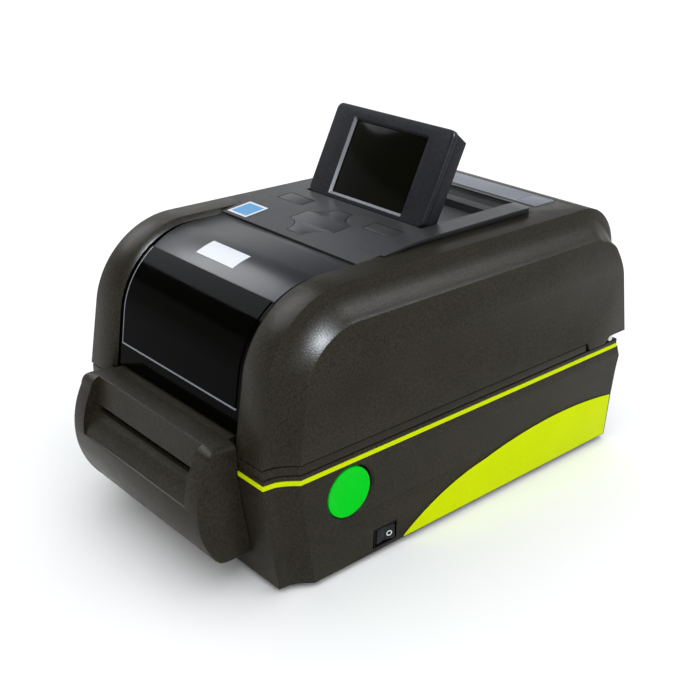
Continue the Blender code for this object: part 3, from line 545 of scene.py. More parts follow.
def front_rows(foot_z, start=FRONT_LEAN, stop=pi / 2, to_seam=True, steps=24, over=0.0):
    """Rows down the middle of the arch's front: y, z, inward normal, share of the way up.

    The share runs from 0 at half a right angle on the arc to 1 at the keypad seam.
    """
    fy, fz = front_centre()
    top_run = SEAM_Y - fy
    whole = FRONT_ARC * pi / 4 + top_run
    rows = []
    if foot_z is not None:
        rows.append(lean_row(foot_z))
    for i in range(steps + 1):
        a = start + (stop - start) * i / steps
        share = max(0.0, (a - pi / 4) * FRONT_ARC / whole)
        rows.append((fy - FRONT_ARC * cos(a), fz + FRONT_ARC * sin(a), cos(a), -sin(a), share))
    if to_seam:
        for i in range(1, 5):
            y = fy + (top_run + over) * i / 4
            rows.append((y, TOP_Z, 0.0, -1.0, (FRONT_ARC * pi / 4 + y - fy) / whole))
    return rows


def well_half(share):
    """Half width of the sunk front panel's well, which widens towards the seam."""
    return PANEL_HALF + GAP + 4.0 * ease(share)


def well_depth(share):
    return 4.0 - 1.4 * ease(share)


def strip(rows, half, depth, thick):
    """A panel that follows the arch; half and depth are functions of the rows' share."""
    rings = []
    for y, z, ny, nz, share in rows:
        w = half(share)
        ring = []
        for x, d in ((-w, depth(share)), (w, depth(share)), (w, depth(share) + thick),
                     (-w, depth(share) + thick)):
            ring.append((x, y + ny * d, z + nz * d))
        rings.append(ring)
    return loft(rings)


def plan(front, rear, ridge, side, corner=2.5, depth=SIDE_DEPTH_LOW, steps=8):
    """Plan outline of the base: coved front corners, round rear corners (x, y)."""
    half = [(ridge + (side - ridge) * share, front + depth * down) for down, share in flare(steps)]
    for i in range(steps + 1):
        a = pi / 2 * i / steps
        half.append((side - corner + corner * cos(a), rear - corner + corner * sin(a)))
    return half + [(-x, y) for x, y in reversed(half)]


# === base =====================================================================================
TUB_LEVELS = ((BASE_FLOOR_Z, -137.2, 191.6, 97.2, 106.5), (41.0, -143.8, 192.9, 97.9, 107.4),
              (62.0, -147.4, 194.5, 98.6, 108.0), (73.0, -149.0, 196.2, 98.9, 108.3),
              (TUB_TOP_Z, BASE_FRONT, 192.1, RIDGE_HALF, SIDE_HALF))
SIDE_DRAFT = (SIDE_HALF - TUB_LEVELS[0][4]) / (TUB_TOP_Z - BASE_FLOOR_Z)


def tub_rings(inset):
    rings = []
    last = len(TUB_LEVELS) - 1
    for i, (z, front, rear, ridge, side) in enumerate(TUB_LEVELS):
        if inset:
            z += WALL if i == 0 else 5.0 if i == last else 0.0
        outline = plan(front + inset, rear - inset, ridge - inset, side - inset)
        rings.append([(x, y, z) for x, y in outline])
    return rings


def base_tub():
    label_exit = block((-60, -156, 74), (60, -140, 90))
    tub = cut(loft(tub_rings(0)), loft(tub_rings(WALL)), label_exit)
    y, z = BUTTON
    for _, sign in SIDES:
        inside, outside = sign * 99, sign * 112
        bore = rod((inside, y, z), (outside, y, z), BUTTON_R + 2 * GAP, sides=96)
        scoop = rod((sign * 106.2, y + 1.2, z - 0.5), (sign * 110.2, y + 1.2, z - 0.5),
                    BUTTON_R, BUTTON_R + 5.5, 96)
        crescent = rod((inside, y + 2.0, z + 0.2), (outside, y + 2.0, z + 0.2), BUTTON_R, sides=96)
        tub = cut(tub, bore, scoop, crescent)
    y, z = ROCKER
    rocker_window = block((102, y - 10.9, z - 7.3), (112, y + 10.9, z + 7.3))
    socket_window = block((-92, 183, 14), (64, 200, 31))
    media_slot = block((-58, 180, 52), (58, 200, 60))
    tub = cut(tub, rocker_window, socket_window, media_slot)
    skin("base_tub", rounded(tub, 0.7, 2, 40), BLACK)


def front_gap(low, high, depth=-130.0):
    """The room left in the base's plates for the labels to come out at the front."""
    return block((-60, -156, low), (60, depth, high))


def lime_stripe():
    stripe = prism(plan(BASE_FRONT - 0.4, BASE_REAR + 0.2, RIDGE_HALF + 0.4, SIDE_HALF + GAP),
                   TUB_TOP_Z + GAP, STRIPE_TOP_Z, 'Z')
    stripe = cut(stripe, prism(plan(-146, 184, 95, 104, 6, 18), 80, 90, 'Z'),
                 front_gap(80, 90, -140.0))
    skin("lime_stripe", rounded(stripe, 0.35, 2, 40), LIME)


def base_deck():
    deck = prism(plan(BASE_FRONT, BASE_REAR, RIDGE_HALF, SIDE_HALF), STRIPE_TOP_Z + GAP,
                 DECK_TOP_Z, 'Z')
    deck = cut(deck, prism(plan(-138, 178, 92, 99, 4, 8), 80, 92, 'Z'), front_gap(80, 92))
    y, z = HINGE
    for _, sign in SIDES:
        low, high = sorted((sign * 84, sign * 95))
        bracket = [(y - 9, DECK_TOP_Z - 1), (y - 0.5, DECK_TOP_Z - 1)]
        bracket += [(y + 3.4 * cos(a), z + 3.4 * sin(a))
                    for a in (radians(10 + 16 * i) for i in range(10))]
        deck = join(deck, prism(bracket, low, high))
        deck = cut(deck, rod((low - 1, y, z), (high + 1, y, z), 2.0, sides=32))
    skin("base_deck", rounded(deck, 0.4, 2, 40), BLACK)


def hinge_caps():
    for side, sign in SIDES:
        cap = cut(rod((sign * 101, *HINGE_CAP), (sign * 107.5, *HINGE_CAP), 2.6, sides=48),
                  rod((sign * 106, *HINGE_CAP), (sign * 109, *HINGE_CAP), 0.9, sides=24))
        detail("hinge_cap_" + side, rounded(cap, 0.3, 2, 40), NATURAL, "base_deck")


def deck_rim():
    rim = prism(plan(BASE_FRONT, SKIRT[0][0] - 2 * GAP, RIDGE_HALF - 0.6, SIDE_HALF - 0.5, 0.4),
                DECK_TOP_Z + 2 * GAP, RIM_TOP_Z, 'Z')
    rim = cut(rim, prism(plan(-146, 142, 94, 104, 2, 18), 80, 100, 'Z'), front_gap(80, 100))
    skin("deck_rim", rounded(rim, 0.5, 2, 40), BLACK)


def arc_through(start, middle, end, steps):
    """Points of the circle through three points, from start to end."""
    (ax, ay), (bx, by), (cx, cy) = start, middle, end
    d = 2 * (ax * (by - cy) + bx * (cy - ay) + cx * (ay - by))
    ux = ((ax * ax + ay * ay) * (by - cy) + (bx * bx + by * by) * (cy - ay)
          + (cx * cx + cy * cy) * (ay - by)) / d
    uy = ((ax * ax + ay * ay) * (cx - bx) + (bx * bx + by * by) * (ax - cx)
          + (cx * cx + cy * cy) * (bx - ax)) / d
    r = hypot(ax - ux, ay - uy)
    a0, a1 = atan2(ay - uy, ax - ux), atan2(cy - uy, cx - ux)
    mid = atan2(by - uy, bx - ux)
    while a1 < a0:
        a1 += 2 * pi
    while mid < a0:
        mid += 2 * pi
    if mid > a1:
        a1 -= 2 * pi
    return [(ux + r * cos(a0 + (a1 - a0) * i / steps), uy + r * sin(a0 + (a1 - a0) * i / steps))
            for i in range(steps + 1)]


def swoosh_outline():
    """Lime inlay: a crest over the rear, an easing fall, and a tip at the front foot."""
    low_z, tip_y, rear_y, bend = 5.2, -37, 187.7, (41.3, 36.5)
    crest = arc_through((188.5, 40.5), (113, 45.6), bend, 18)
    fall = arc_through(bend, (-4, 24.4), (tip_y, 6.0), 14)
    return [(tip_y, low_z), (rear_y, low_z)] + crest + fall[1:]


def swoosh(side, sign):
    panel = rounded(prism(swoosh_outline(), 0, 0.6), 0.25, 2, 50)
    for vert in panel.verts:
        lean = SIDE_DRAFT * (vert.co.z - BASE_FLOOR_Z)
        vert.co.x = sign * (vert.co.x + TUB_LEVELS[0][4] + GAP + lean)
    skin("swoosh_panel_" + side, panel, LIME)


def release_button(side, sign):
    """Dished button: a turned rim that falls into a hollow leaning towards the rear."""
    y, z = BUTTON
    face = 107.9
    r = BUTTON_R
    profile = [(98.0, r), (face - 1.2, r), (face - 0.35, r - 0.25), (face, r - 1.1),
               (face - 0.25, r - 2.2), (face - 0.8, r - 4.2), (face - 1.3, r - 7.0),
               (face - 1.5, 5.0), (face - 1.5, 0.4)]
    button = turned(profile, (y, z), 96, 'X', sign)
    pawl = prism([(y - 6, z - 4), (y + 6, z - 4), (y + 6, z + 16), (y - 6, z + 16)],
                 *sorted((sign * 93.5, sign * 98.5)))
    skin("release_button_" + side, join(button, rounded(pawl, 0.5)), GREEN, 50)


def rocker_switch():
    y, z = ROCKER
    frame_piece = cut(block((98, y - 10.5, z - 7.0), (107.2, y + 10.5, z + 7.0)),
                      block((99.5, y - 9.0, z - 6), (109, y + 9.0, z + 6)),
                      block((105.4, y - 9.7, z - 6.4), (109, y + 9.7, z + 6.4)))
    # The frame is drawn near-black, partly its own colour and partly painted shade of the switch's
    # pocket.
    skin("rocker_frame", rounded(frame_piece, 0.3), SWITCH_BLACK_AND_SHADE)
    back, half, raised, ridge, ridge_y = 101.5, 7.6, 108.0, 106.3, y + 1.2
    outline = [(back, y - half), (back, y + half), (raised, y + half), (ridge, ridge_y),
               (105.9, y - 0.6), (106.2, y - 2.2), (106.8, y - half)]
    skin("rocker_switch", rounded(prism(outline, z - 5.4, z + 5.4, 'Z'), 0.4, 2, 12), BEZEL_BLACK)
    mark = (y + 3.4, z - 0.6)
    ring = cut(rod((105.5, *mark), (107.3, *mark), 2.1, sides=48),
               rod((105.0, *mark), (107.6, *mark), 1.35, sides=48))
    lean = (raised - ridge) / (y + half - ridge_y)
    for vert in ring.verts:
        if vert.co.x > 107:
            vert.co.x = ridge + lean * (vert.co.y - ridge_y) + 0.06
    detail("rocker_mark", ring, INK, "rocker_switch")


def feet():
    for i in range(1, 5):
        low, high = corners(f"foot_{i}")
        x, y = (low.x + high.x) / 2, (low.y + high.y) / 2
        r = (high.x - low.x) / 2
        profile = [(0.0, r - 2.4), (0.0, r - 1.6), (0.5, r - 1.0), (high.z - 0.8, r),
                   (high.z, r - 0.3), (high.z, 1.0)]
        skin(f"foot_{i}", turned(profile, (x, y), 64, 'Z'), RUBBER)


# === cutter ===================================================================================
def face_y(z):
    """y of the cutter's back, which follows the leaning front of the base."""
    for (za, ya, *_), (zb, yb, *_) in zip(TUB_LEVELS, TUB_LEVELS[1:]):
        if z <= zb:
            return ya + (yb - ya) * (z - za) / (zb - za) - CUTTER_GAP
    return BASE_FRONT - CUTTER_GAP


def cutter_profile():
    """Side profile of the cutter's casing (y, z): a full round belly under a short brow."""
    brow = arc_through((-164.5, CUTTER_TOP_Z), (-169.8, 101.2), (-172.6, 95.5), 6)
    belly = arc_through((-172.6, 95.5), (-180.2, 71.0), (-178.9, 50.0), 14)
    chin = arc_through((-178.9, 50.0), (-175.3, 39.4), (-168.5, 27.3), 8)
    return ([(face_y(CUTTER_TOP_Z), CUTTER_TOP_Z)] + brow + belly[1:] + chin[1:]
            + [(-165.5, 24.4), (-161.0, 23.2), (face_y(22.5), 22.5)])


def inset_profile(profile, distance):
    """The side profile moved inwards, with its ends kept on the back face."""
    last = len(profile) - 1
    moved = []
    for i, (y, z) in enumerate(profile):
        ya, za = profile[max(i - 1, 0)]
        yb, zb = profile[min(i + 1, last)]
        length = hypot(yb - ya, zb - za)
        z += (yb - ya) / length * distance
        moved.append((face_y(z) if i in (0, last) else y - (zb - za) / length * distance, z))
    return moved


def cutter_shell():
    """The casing's outside: the profile swept across, with its ends softened."""
    soft = 1.3
    profile = cutter_profile()
    ends = [(CUTTER_HALF - soft * (1 - cos(a)), soft * (1 - sin(a)))
            for a in (pi / 2, pi / 3, pi / 6, 0.0)]
    rings = []
    for x, inset in [(-x, d) for x, d in reversed(ends)] + ends:
        outline = inset_profile(profile, inset)
        outline += [(face_y(z), z) for z in (41.0, 62.0, TUB_TOP_Z)]
        rings.append([(x, y, z) for y, z in outline])
    return loft(rings)


def outside_corner(sign, centre, radius, over, steps):
    """What a rounded corner leaves of a square one: the arc and the room beyond it."""
    u, v = centre
    outline = [(sign * (u + radius * cos(a)), v + radius * sin(a))
               for a in (pi / 2 * i / steps for i in range(steps + 1))]
    far = radius + over
    return outline + [(sign * u, v + far), (sign * (u + far), v + far), (sign * (u + far), v)]


def shoulder(sign):
    """What is cut from one end of the cutter's top to round it over."""
    centre = CUTTER_HALF - SHOULDER, CUTTER_TOP_Z - SHOULDER
    return prism(outside_corner(sign, centre, SHOULDER, 5, 8), -190.0, -140.0, 'Y')


def cutter_housing():
    lip = [(-149.9, 97.5), (-143.5, 97.5), (-143.5, 104.2), (-150.6, CUTTER_TOP_Z),
           (-160, 103.0), (-160, 98)]
    recess = [(-165.5, 112), (-165.5, 101.5), (-169.5, 85.4), (-169.5, SLOT_LOW)]
    recess += arc_through((-170.2, 79.4), (-176.2, 72.6), (-179.4, 65.0), 8)
    recess += [(-196, 60), (-196, 112)]
    hollow = [(-135, 96), (-162.5, 96), (-166.0, 80), (-174.5, 65), (-176.8, 57), (-175.2, 48),
              (-170.5, 38), (-162.5, 28), (-135, 28)]
    body = join(cut(cutter_shell(), shoulder(-1), shoulder(1)), prism(lip, -65.5, 65.5))
    slot = block((-57, -176, SLOT_LOW), (57, -160, SLOT_HIGH))
    notch = block((-68, -190, 27), (-60, -168.2, 32))
    body = cut(body, prism(recess, -61.5, 60.5), prism(hollow, -71.5, 71.5), slot, notch)
    skin("cutter_housing", rounded(body, 0.5, 2, 40), BLACK)


# === cover ====================================================================================
def chamfered_opening():
    """The front well's cutter: sloping walls down to the panel, straight walls below it."""
    rings = []
    for y, z, ny, nz, share in front_rows(60.0, over=0.6):
        w, d = well_half(share), well_depth(share) + 0.4
        wide = w + 8.0 - 4.0 * ease(share)
        section = ((-wide - 1.5, -1.2), (wide + 1.5, -1.2), (w, d), (w, 14.0), (-w, 14.0), (-w, d))
        rings.append([(x, y + ny * dd, z + nz * dd) for x, dd in section])
    return loft(rings)


def lid_shell():
    section = [(depth * SIDE_DEPTH, 0, share, 0) for depth, share in flare()]
    inner = ((0, WALL, 0, WALL), (11.5, WALL, 0.05, WALL), (19.0, WALL, 0.5, WALL),
             (20.5, WALL, 1.0, WALL))
    foot = [(-170, 70), (-170, COVER_EDGE_Z), (SKIRT[0][0], COVER_EDGE_Z), *SKIRT,
            (220, COVER_REAR[1]), (220, 70)]
    deck_room = block((-DECK_HALF - GAP, SEAM_Y - 0.1, 150),
                      (DECK_HALF + GAP, DECK_REAR + 1.2, 220))
    trim_room = block((-66.5, 126, TOP_Z - 1.2), (66.5, 150, TOP_Z + 5))
    shell = cut(arch_solid(80.0, section), arch_solid(70.0, inner, 12, 8),
                prism(foot, -130, 130), chamfered_opening(), deck_room, trim_room)
    y, z = BUTTON
    for _, sign in SIDES:
        catch = [(y - 7, z + 8), (y + 7, z + 8), (y + 7, 150), (y - 7, 150)]
        shell = join(shell, prism(catch, *sorted((sign * 88, sign * 91))))
        low, high = sorted((sign * 88, sign * 106.5))
        shell = join(shell, block((low, y - 7, 144), (high, y + 7, 150)))
    skin("lid_shell", rounded(shell, 0.6, 2, 40), BLACK)


def front_panel():
    """Smoked window, wider behind the well than its raised pane, and the satin panel above."""
    window = strip(front_rows(WINDOW_FOOT_Z, stop=GLOSS_ANGLE - 0.006, to_seam=False),
                   lambda s: well_half(s) + 5.0, well_depth, 2.5)
    pane = strip(front_rows(PANE_FOOT_Z, stop=GLOSS_ANGLE - 0.006, to_seam=False),
                 lambda s: well_half(s) - 2.2, lambda s: well_depth(s) - 0.7, 1.2)
    skin("smoked_window", rounded(join(window, pane), 0.3, 2, 40), PANEL_GLOSS)
    # A pale strip along the pane's foot and left side: a painted highlight standing for the light on
    # the glossy pane's edge.
    edge = strip([lean_row(PANE_FOOT_Z - 1.2), lean_row(PANE_FOOT_Z - 0.1)],
                 lambda s: PANEL_HALF - 1.0, lambda s: 3.2, 1.0)
    side = strip(front_rows(PANE_FOOT_Z - 1.2, stop=GLOSS_ANGLE - 0.006, to_seam=False),
                 lambda s: 0.35, lambda s: well_depth(s) - 0.8, 1.0)
    bmesh.ops.translate(side, verts=side.verts, vec=(1.4 - PANEL_HALF, 0, 0))
    detail("window_edge_highlight", join(edge, side), TRIM_AND_HIGHLIGHT_GREY, "smoked_window")
    panel = strip(front_rows(None, start=GLOSS_ANGLE, over=-SEAM_GAP),
                  lambda s: well_half(s) - GAP, well_depth, 2.5)
    skin("centre_panel", rounded(panel, 0.4, 2, 40), SATIN)


DECK_KNOTS = ((SEAM_Y, 195.4), (-16.0, 199.9), (4.0, 201.6), (108.0, 202.4), (114.0, 200.0))


def deck_surface(y):
    for (ya, za), (yb, zb) in zip(DECK_KNOTS, DECK_KNOTS[1:]):
        if y <= yb:
            return za + (zb - za) * (y - ya) / (yb - ya)
    return DECK_KNOTS[-1][1]


def soft_deck(y, reach=7.0):
    """The deck's height with its bends eased over a few millimetres."""
    reach = min(reach, max(0.5, y - SEAM_Y), max(0.5, DECK_REAR - y))
    return sum(deck_surface(y + reach * k / 4) for k in range(-4, 5)) / 9


def round_plan(half, front, rear, r_front, r_rear, steps=10):
    """Plan of a plate with its corners rounded (x, y), counter-clockwise."""
    points = []
    for cx, cy, r, start in ((half - r_front, front + r_front, r_front, -90),
                             (half - r_rear, rear - r_rear, r_rear, 0),
                             (-half + r_rear, rear - r_rear, r_rear, 90),
                             (-half + r_front, front + r_front, r_front, 180)):
        for i in range(steps + 1 if r > 0.1 else 1):
            a = radians(start + 90 * i / steps)
            points.append((cx + r * cos(a), cy + r * sin(a)))
    return points


def rectangle(x0, y0, x1, y1, r=1.2, steps=4):
    points = []
    for cx, cy, start in ((x1 - r, y0 + r, -90), (x1 - r, y1 - r, 0), (x0 + r, y1 - r, 90),
                          (x0 + r, y0 + r, 180)):
        for i in range(steps + 1):
            a = radians(start + 90 * i / steps)
            points.append((cx + r * cos(a), cy + r * sin(a)))
    return points


def cross_outline(cx, cy, reach, arm, steps=10):
    """A four-armed pad with concave corners between the arms."""
    quarter = []
    for i in range(steps + 1):
        a = pi / 2 * i / steps
        quarter.append((arm + (reach - arm) * (1 - sin(a)), arm + (reach - arm) * (1 - cos(a))))
    points = []
    for turn in range(4):
        c, s = round(cos(turn * pi / 2)), round(sin(turn * pi / 2))
        points += [(cx + c * x - s * y, cy + s * x + c * y) for x, y in quarter]
    return points


KEY_OUTLINES = {
    "key_left": rectangle(-60.5, -10.5, -34.0, 1.5),
    "key_right": rectangle(30.5, -10.5, 57.0, 1.5),
    "navigation_pad": cross_outline(0, -22, 22.5, 8.0),
}


def offset(outline, grow):
    cx = (min(x for x, _ in outline) + max(x for x, _ in outline)) / 2
    cy = (min(y for _, y in outline) + max(y for _, y in outline)) / 2
    wide = max(x for x, _ in outline) - cx
    deep = max(y for _, y in outline) - cy
    return [(cx + (x - cx) * (1 + grow / wide), cy + (y - cy) * (1 + grow / deep))
            for x, y in outline]


def deck_profile(start, stop, lift=0.0, steps=26):
    return [(start + (stop - start) * i / steps,
             soft_deck(start + (stop - start) * i / steps) + lift) for i in range(steps + 1)]


def above_cover(stop, drop, lead):
    """Side outline of what of the deck, sunk by drop, stands above the cover's top (y, z)."""
    low_z = TOP_Z + GAP
    top = [(y, z - drop) for y, z in deck_profile(-40.0, stop)]
    top = [(y, z) for y, z in top if z > low_z + 0.1]
    return [(top[0][0] - lead, low_z)] + top + [(stop, low_z)]


def deck_corner(sign):
    """What is cut from a rear corner of the raised deck to round it off."""
    centre = FLANGE_HALF - FLANGE_CORNER, DECK_REAR + FLANGE_OVER - FLANGE_CORNER
    return prism(outside_corner(sign, centre, FLANGE_CORNER, 4, 10), TOP_Z + GAP, 215.0, 'Z')


def keypad_deck():
    deck = prism(deck_profile(SEAM_Y, DECK_REAR) + [(DECK_REAR, 193.5), (SEAM_Y, 192.5)],
                 -DECK_HALF, DECK_HALF)
    outline = round_plan(FLANGE_HALF, -60.0, DECK_REAR + FLANGE_OVER, 0.05, FLANGE_CORNER)
    wings = common(prism(above_cover(DECK_REAR + 1.5, 0.0, 0.0), -FLANGE_HALF, FLANGE_HALF),
                   prism(outline, 190, 215, 'Z'))
    deck = join(deck, wings)
    under = above_cover(DECK_REAR + 3.0, UNDERCUT, 4.0)
    for _, sign in SIDES:
        deck = cut(deck, prism(under, *sorted((sign * (DECK_HALF + 0.3), sign * 78))),
                   deck_corner(sign))
    deck = join(deck, block((-62, RECESS_FRONT - 2, RECESS_FLOOR - 2), (62, RECESS_REAR + 2, 198)))
    ledge = [(RECESS_FRONT, 215), (RECESS_FRONT, RECESS_FLOOR), (97.0, RECESS_FLOOR),
             (97.6, RECESS_FLOOR - 1.0), (101.4, RECESS_FLOOR - 1.0), (102.0, 192.6), (107.5, 194.4),
             (109.0, 197.0), (RECESS_REAR, 199.5), (RECESS_REAR, 215)]
    deck = cut(deck, prism(ledge, -RECESS_HALF, RECESS_HALF),
               rod((-64, *LCD_PIVOT), (64, *LCD_PIVOT), 1.6, sides=32))
    for outline in KEY_OUTLINES.values():
        deck = cut(deck, prism(offset(outline, KEY_GAP), 180, 215, 'Z'))
    skin("keypad_deck", rounded(deck, 0.5, 2, 40), DECK_BLACK)


def keys():
    for name, outline in KEY_OUTLINES.items():
        top = deck_profile(-52.0, 12.0, KEY_LIFT)
        body = cut(prism(outline, 190.0, 215.0, 'Z'), prism(top + [(12, 230), (-52, 230)], -80, 80))
        skin(name, rounded(body, 0.3, 2, 40), DECK_BLACK)


def stood_up(bm):
    """Take a screen piece from lying flat at its hinge to its place and tilt."""
    turn = Matrix.Translation((0, *LCD_PIVOT)) @ Matrix.Rotation(LCD_TILT, 4, 'X')
    bmesh.ops.transform(bm, matrix=turn, verts=bm.verts)
    return bm


def opening_ring(grow, z):
    """The screen opening's outline, grown on all sides, at height z above the hinge."""
    x0, y0, x1, y1 = LCD_OPENING
    return [(x, y, z) for x, y in rectangle(x0 - grow, y0 - grow, x1 + grow, y1 + grow, 0.6, 3)]


def lcd_bezel(hinge_channel):
    bezel = prism(rectangle(-LCD_HALF, 0, LCD_HALF, LCD_HEIGHT, 5.0, 10), 0.0, 5.0, 'Z')
    bezel = rounded(bezel, 0.8, 3, 50)
    opening = loft([opening_ring(grow, z)
                    for grow, z in ((0.0, -2.0), (0.0, 3.4), (1.7, 5.1), (1.8, 6.0))])
    skin("lcd_bezel", stood_up(cut(bezel, opening, hinge_channel)), BEZEL_BLACK, 25)


def aperture_highlight_strip():
    """Pale slope along the left and the foot of the screen's opening, drawn pale as a painted
    highlight where those walls face the light; the right and top walls are left out.
    """
    outer, inner = (loft([opening_ring(grow + e, z)
                          for e, z in ((-0.1, 3.0 + grow), (-0.1, 3.4), (1.6, 5.04 - grow / 8))])
                    for grow in (0.0, -0.4))
    right_and_top = block((-35.4, 5.1, 0), (45, 70, 9))
    lining = cut(outer, inner, right_and_top)
    detail("aperture_highlight_strip", stood_up(lining), APERTURE_HIGHLIGHT_GREY, "lcd_bezel")


def lcd_rear_housing():
    rear, soft, front = ((LCD_HALF - 0.9, 1.6, LCD_HEIGHT - 4.5, 0.8, -10.0),
                         (LCD_HALF - 0.5, 1.0, LCD_HEIGHT - 4.1, 1.0, -9.6),
                         (LCD_HALF - GAP, 0.7, LCD_HEIGHT - 0.8, 4.0, -GAP))
    housing = loft([[(x, y, z) for x, y in rectangle(-half, low, half, high, r, 6)]
                    for half, low, high, r, z in (rear, soft, front)])
    glass_room = block((-41, 2.5, -4), (41, 61, 1))
    barrel = rod((-LCD_HALF + 2, 0, 0), (LCD_HALF - 2, 0, 0), 2.4)
    pin = rod((-RECESS_HALF - 1.6, 0, 0), (RECESS_HALF + 1.6, 0, 0), 1.2, sides=32)
    housing = join(cut(housing, glass_room), barrel, pin)
    skin("lcd_rear_housing", stood_up(rounded(housing, 0.25, 2, 40)), BEZEL_BLACK)


def lcd_glass(hinge_channel):
    plate = block((-40, 3.5, -2.5), (40, 60, -GAP))
    face = block((-35.4, 5.1, -1), (35.4, 58.4, 3.5))
    glass = cut(join(plate, face), hinge_channel)
    skin("lcd_glass", stood_up(rounded(glass, 0.15, 2, 40)), GLASS)


def lcd():
    def hinge_channel():
        return rod((-LCD_HALF - 2, 0, 0), (LCD_HALF + 2, 0, 0), 2.8)

    lcd_bezel(hinge_channel())
    aperture_highlight_strip()
    lcd_rear_housing()
    lcd_glass(hinge_channel())


def rear_trim():
    low, high = corners("rear_trim")
    plate = prism(rectangle(low.x, low.y, high.x, high.y, 1.5), low.z, high.z, 'Z')
    groove = rectangle(47.0, low.y + 2.4, high.x - 1.0, high.y - 2.4, 1.0)
    ring = cut(prism(offset(groove, 0.25), high.z - 0.35, high.z + 1, 'Z'),
               prism(offset(groove, -0.25), high.z - 1, high.z + 2, 'Z'))
    skin("rear_trim", rounded(cut(plate, ring), 0.15, 2, 50), TRIM_AND_HIGHLIGHT_GREY)


def labels():
    """Two blank stickers: white on the front arc, blue and white beside the seam."""
    fy, fz = front_centre()
    r = FRONT_ARC - 4.0
    x0, x1, y0, y1 = -26.5, 13.5, -105.8, -91.3
    rows = []
    for i in range(9):
        y = y0 + (y1 - y0) * i / 8
        a = pi / 2 - asin((fy - y) / r)
        share = max(0.0, (a - pi / 4) * FRONT_ARC / (FRONT_ARC * pi / 4 + SEAM_Y - fy))
        rows.append((fy - FRONT_ARC * cos(a), fz + FRONT_ARC * sin(a), cos(a), -sin(a), share))
    sheet = strip(rows, lambda s: (x1 - x0) / 2, lambda s: well_depth(s) - 0.25, 0.2)
    bmesh.ops.translate(sheet, verts=sheet.verts, vec=((x0 + x1) / 2, 0, 0))
    skin("white_sticker", sheet, WHITE)
    outline = rectangle(-69.0, -50.0, -47.5, -29.5, 0.8)
    for name, grow, lift, mat in (("blue_sticker", 0.0, 0.2, WHITE), ("", -2.2, 0.26, BLUE)):
        sheet = prism(offset(outline, grow), 0.0, 0.06, 'Z')
        for vert in sheet.verts:
            vert.co.z += soft_deck(vert.co.y) + lift
        if name:
            skin(name, sheet, mat)
        else:
            detail("blue_sticker_field", sheet, mat, "blue_sticker")


# === inner works ==============================================================================
def inner_works():
    for node in ("chassis", "cutter_frame", "ribbon_frame", "head_carrier", "hinge_arm_left",
                 "hinge_arm_right", "tear_bar", "usb_port", "serial_port", "network_port",
                 "usb_host_port"):
        refined(node, STEEL, 0.25)
    for node in ("cutter_fixed_blade", "cutter_moving_blade"):
        refined(node, BLADE, 0.12, 1)
    for node in ("media_bay_liner", "paper_ramp", "power_inlet", "cutter_motor", "stepper_motor"):
        refined(node, GREY, 0.5)
    for node in ("platen_gear", "idler_gear", "media_guide_left", "media_guide_right",
                 "ribbon_supply_spindle", "ribbon_take_up_spindle"):
        refined(node, NATURAL, 0.25)
    refined("motor_pinion", BRONZE, 0.15)
    refined("platen_bush_left", BRONZE, 0.2)
    refined("platen_bush_right", BRONZE, 0.2)
    refined("platen_shaft", STEEL, 0.3)
    refined("platen_roller", RUBBER, 0.4)
    refined("main_board", BOARD, 0.1)
    refined("print_head", CERAMIC, 0.2)


# === stage ====================================================================================
CAMERA_AT = Vector((541.2, -483.0, 427.5))
CAMERA_RIGHT = Vector((0.66605, 0.74573, 0.01614))
CAMERA_UP = Vector((-0.31954, 0.26571, 0.90956))
SENSOR, LENS = 36.0, 55.86
# name, direction from the printer, power, spread in degrees, colour, seen in glossy surfaces only
LAMPS = (("fill", (0.1, -0.05, 1.0), 3.0, 120.0, (1.0, 1.0, 1.0), False),
         ("key", (0.49, -0.30, 0.82), 26.0, 24.0, (0.88, 0.94, 1.0), True),
         ("left", (-0.70, -0.12, 0.71), 2.7, 40.0, (0.93, 0.96, 1.0), True),
         ("rear", (0.38, 0.57, 0.70), 1.6, 16.0, (0.90, 0.94, 1.0), True))


def camera():
    data = bpy.data.cameras.new("camera")
    obj = bpy.data.objects.new("camera", data)
    bpy.context.scene.collection.objects.link(obj)
    backwards = CAMERA_RIGHT.cross(CAMERA_UP)
    turn = Matrix((CAMERA_RIGHT, CAMERA_UP, backwards)).transposed().to_4x4()
    obj.matrix_world = Matrix.Translation((CAMERA_AT + Vector((0, SHIFT, 0))) * MM) @ turn
    data.sensor_width, data.lens = SENSOR, LENS
    data.clip_start, data.clip_end = 0.01, 60.0
    bpy.context.scene.camera = obj


def lamp(name, direction, power, spread, colour, glossy):
    """A distant light: glossy lights only shine in the surfaces, the others only fill."""
    data = bpy.data.lights.new(name, 'SUN')
    data.energy, data.angle, data.color = power, radians(spread), colour
    obj = bpy.data.objects.new(name, data)
    bpy.context.scene.collection.objects.link(obj)
    obj.location = Vector(direction) * 2.0
    obj.rotation_euler = (-Vector(direction)).to_track_quat('-Z', 'Y').to_euler()
    obj.visible_glossy, obj.visible_diffuse = glossy, not glossy


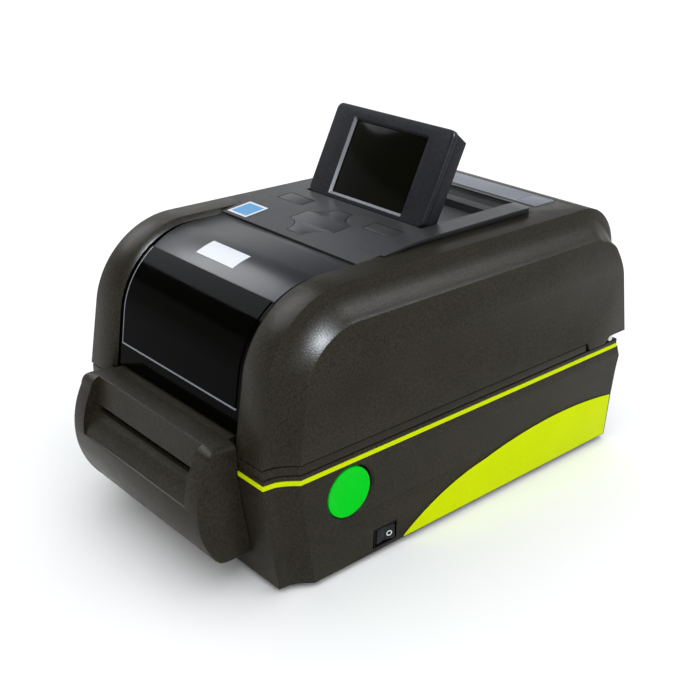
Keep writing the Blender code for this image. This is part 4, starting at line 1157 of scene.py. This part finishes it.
def floor():
    mesh = bpy.data.meshes.new("floor")
    bm = bmesh.new()
    bmesh.ops.create_grid(bm, x_segments=1, y_segments=1, size=30.0)
    bm.to_mesh(mesh)
    bm.free()
    obj = bpy.data.objects.new("floor", mesh)
    bpy.context.scene.collection.objects.link(obj)
    n = Nodes("floor_paper", (0.92, 0.92, 0.92), 0.9)
    n.set("Specular IOR Level", 0.1)
    mesh.materials.append(n.mat)


def surroundings():
    """White room: dimmer overhead and above the front, bluer towards the top."""
    world = bpy.data.worlds.new("studio")
    bpy.context.scene.world = world
    world.use_nodes = True
    tree = world.node_tree
    direction = tree.nodes.new("ShaderNodeSeparateXYZ")
    tree.links.new(tree.nodes.new("ShaderNodeTexCoord").outputs["Generated"], direction.inputs[0])
    up, back = direction.outputs["Z"], direction.outputs["Y"]

    def combined(operation, a, b):
        node = tree.nodes.new("ShaderNodeMath")
        node.operation = operation
        tree.links.new(a, node.inputs[0])
        tree.links.new(b, node.inputs[1])
        return node.outputs["Value"]

    overhead = ranged(tree, up, 0.42, 0.68, 1.0, 0.22)
    above_horizon = combined('ADD', back, ranged(tree, up, 0.16, 0.30, 1.6, 0.0))
    front = ranged(tree, above_horizon, -0.7, 0.2, 0.1, 1.0)
    background = tree.nodes["Background"]
    tree.links.new(combined('MULTIPLY', overhead, front), background.inputs["Strength"])
    tint = tree.nodes.new("ShaderNodeMix")
    tint.data_type = 'RGBA'
    low, high = [socket for socket in tint.inputs if socket.type == 'RGBA']
    low.default_value, high.default_value = (1.0, 1.0, 1.0, 1.0), (0.80, 0.90, 1.0, 1.0)
    tree.links.new(up, tint.inputs["Factor"])
    tree.links.new(tint.outputs["Result"], background.inputs["Color"])


def stage():
    floor()
    surroundings()
    for settings in LAMPS:
        lamp(*settings)
    bpy.context.scene.view_settings.view_transform = 'Standard'


camera()
stage()
base_tub()
lime_stripe()
base_deck()
hinge_caps()
deck_rim()
for side_name, side_sign in SIDES:
    swoosh(side_name, side_sign)
    release_button(side_name, side_sign)
rocker_switch()
feet()
cutter_housing()
lid_shell()
front_panel()
keypad_deck()
keys()
lcd()
rear_trim()
labels()
inner_works()
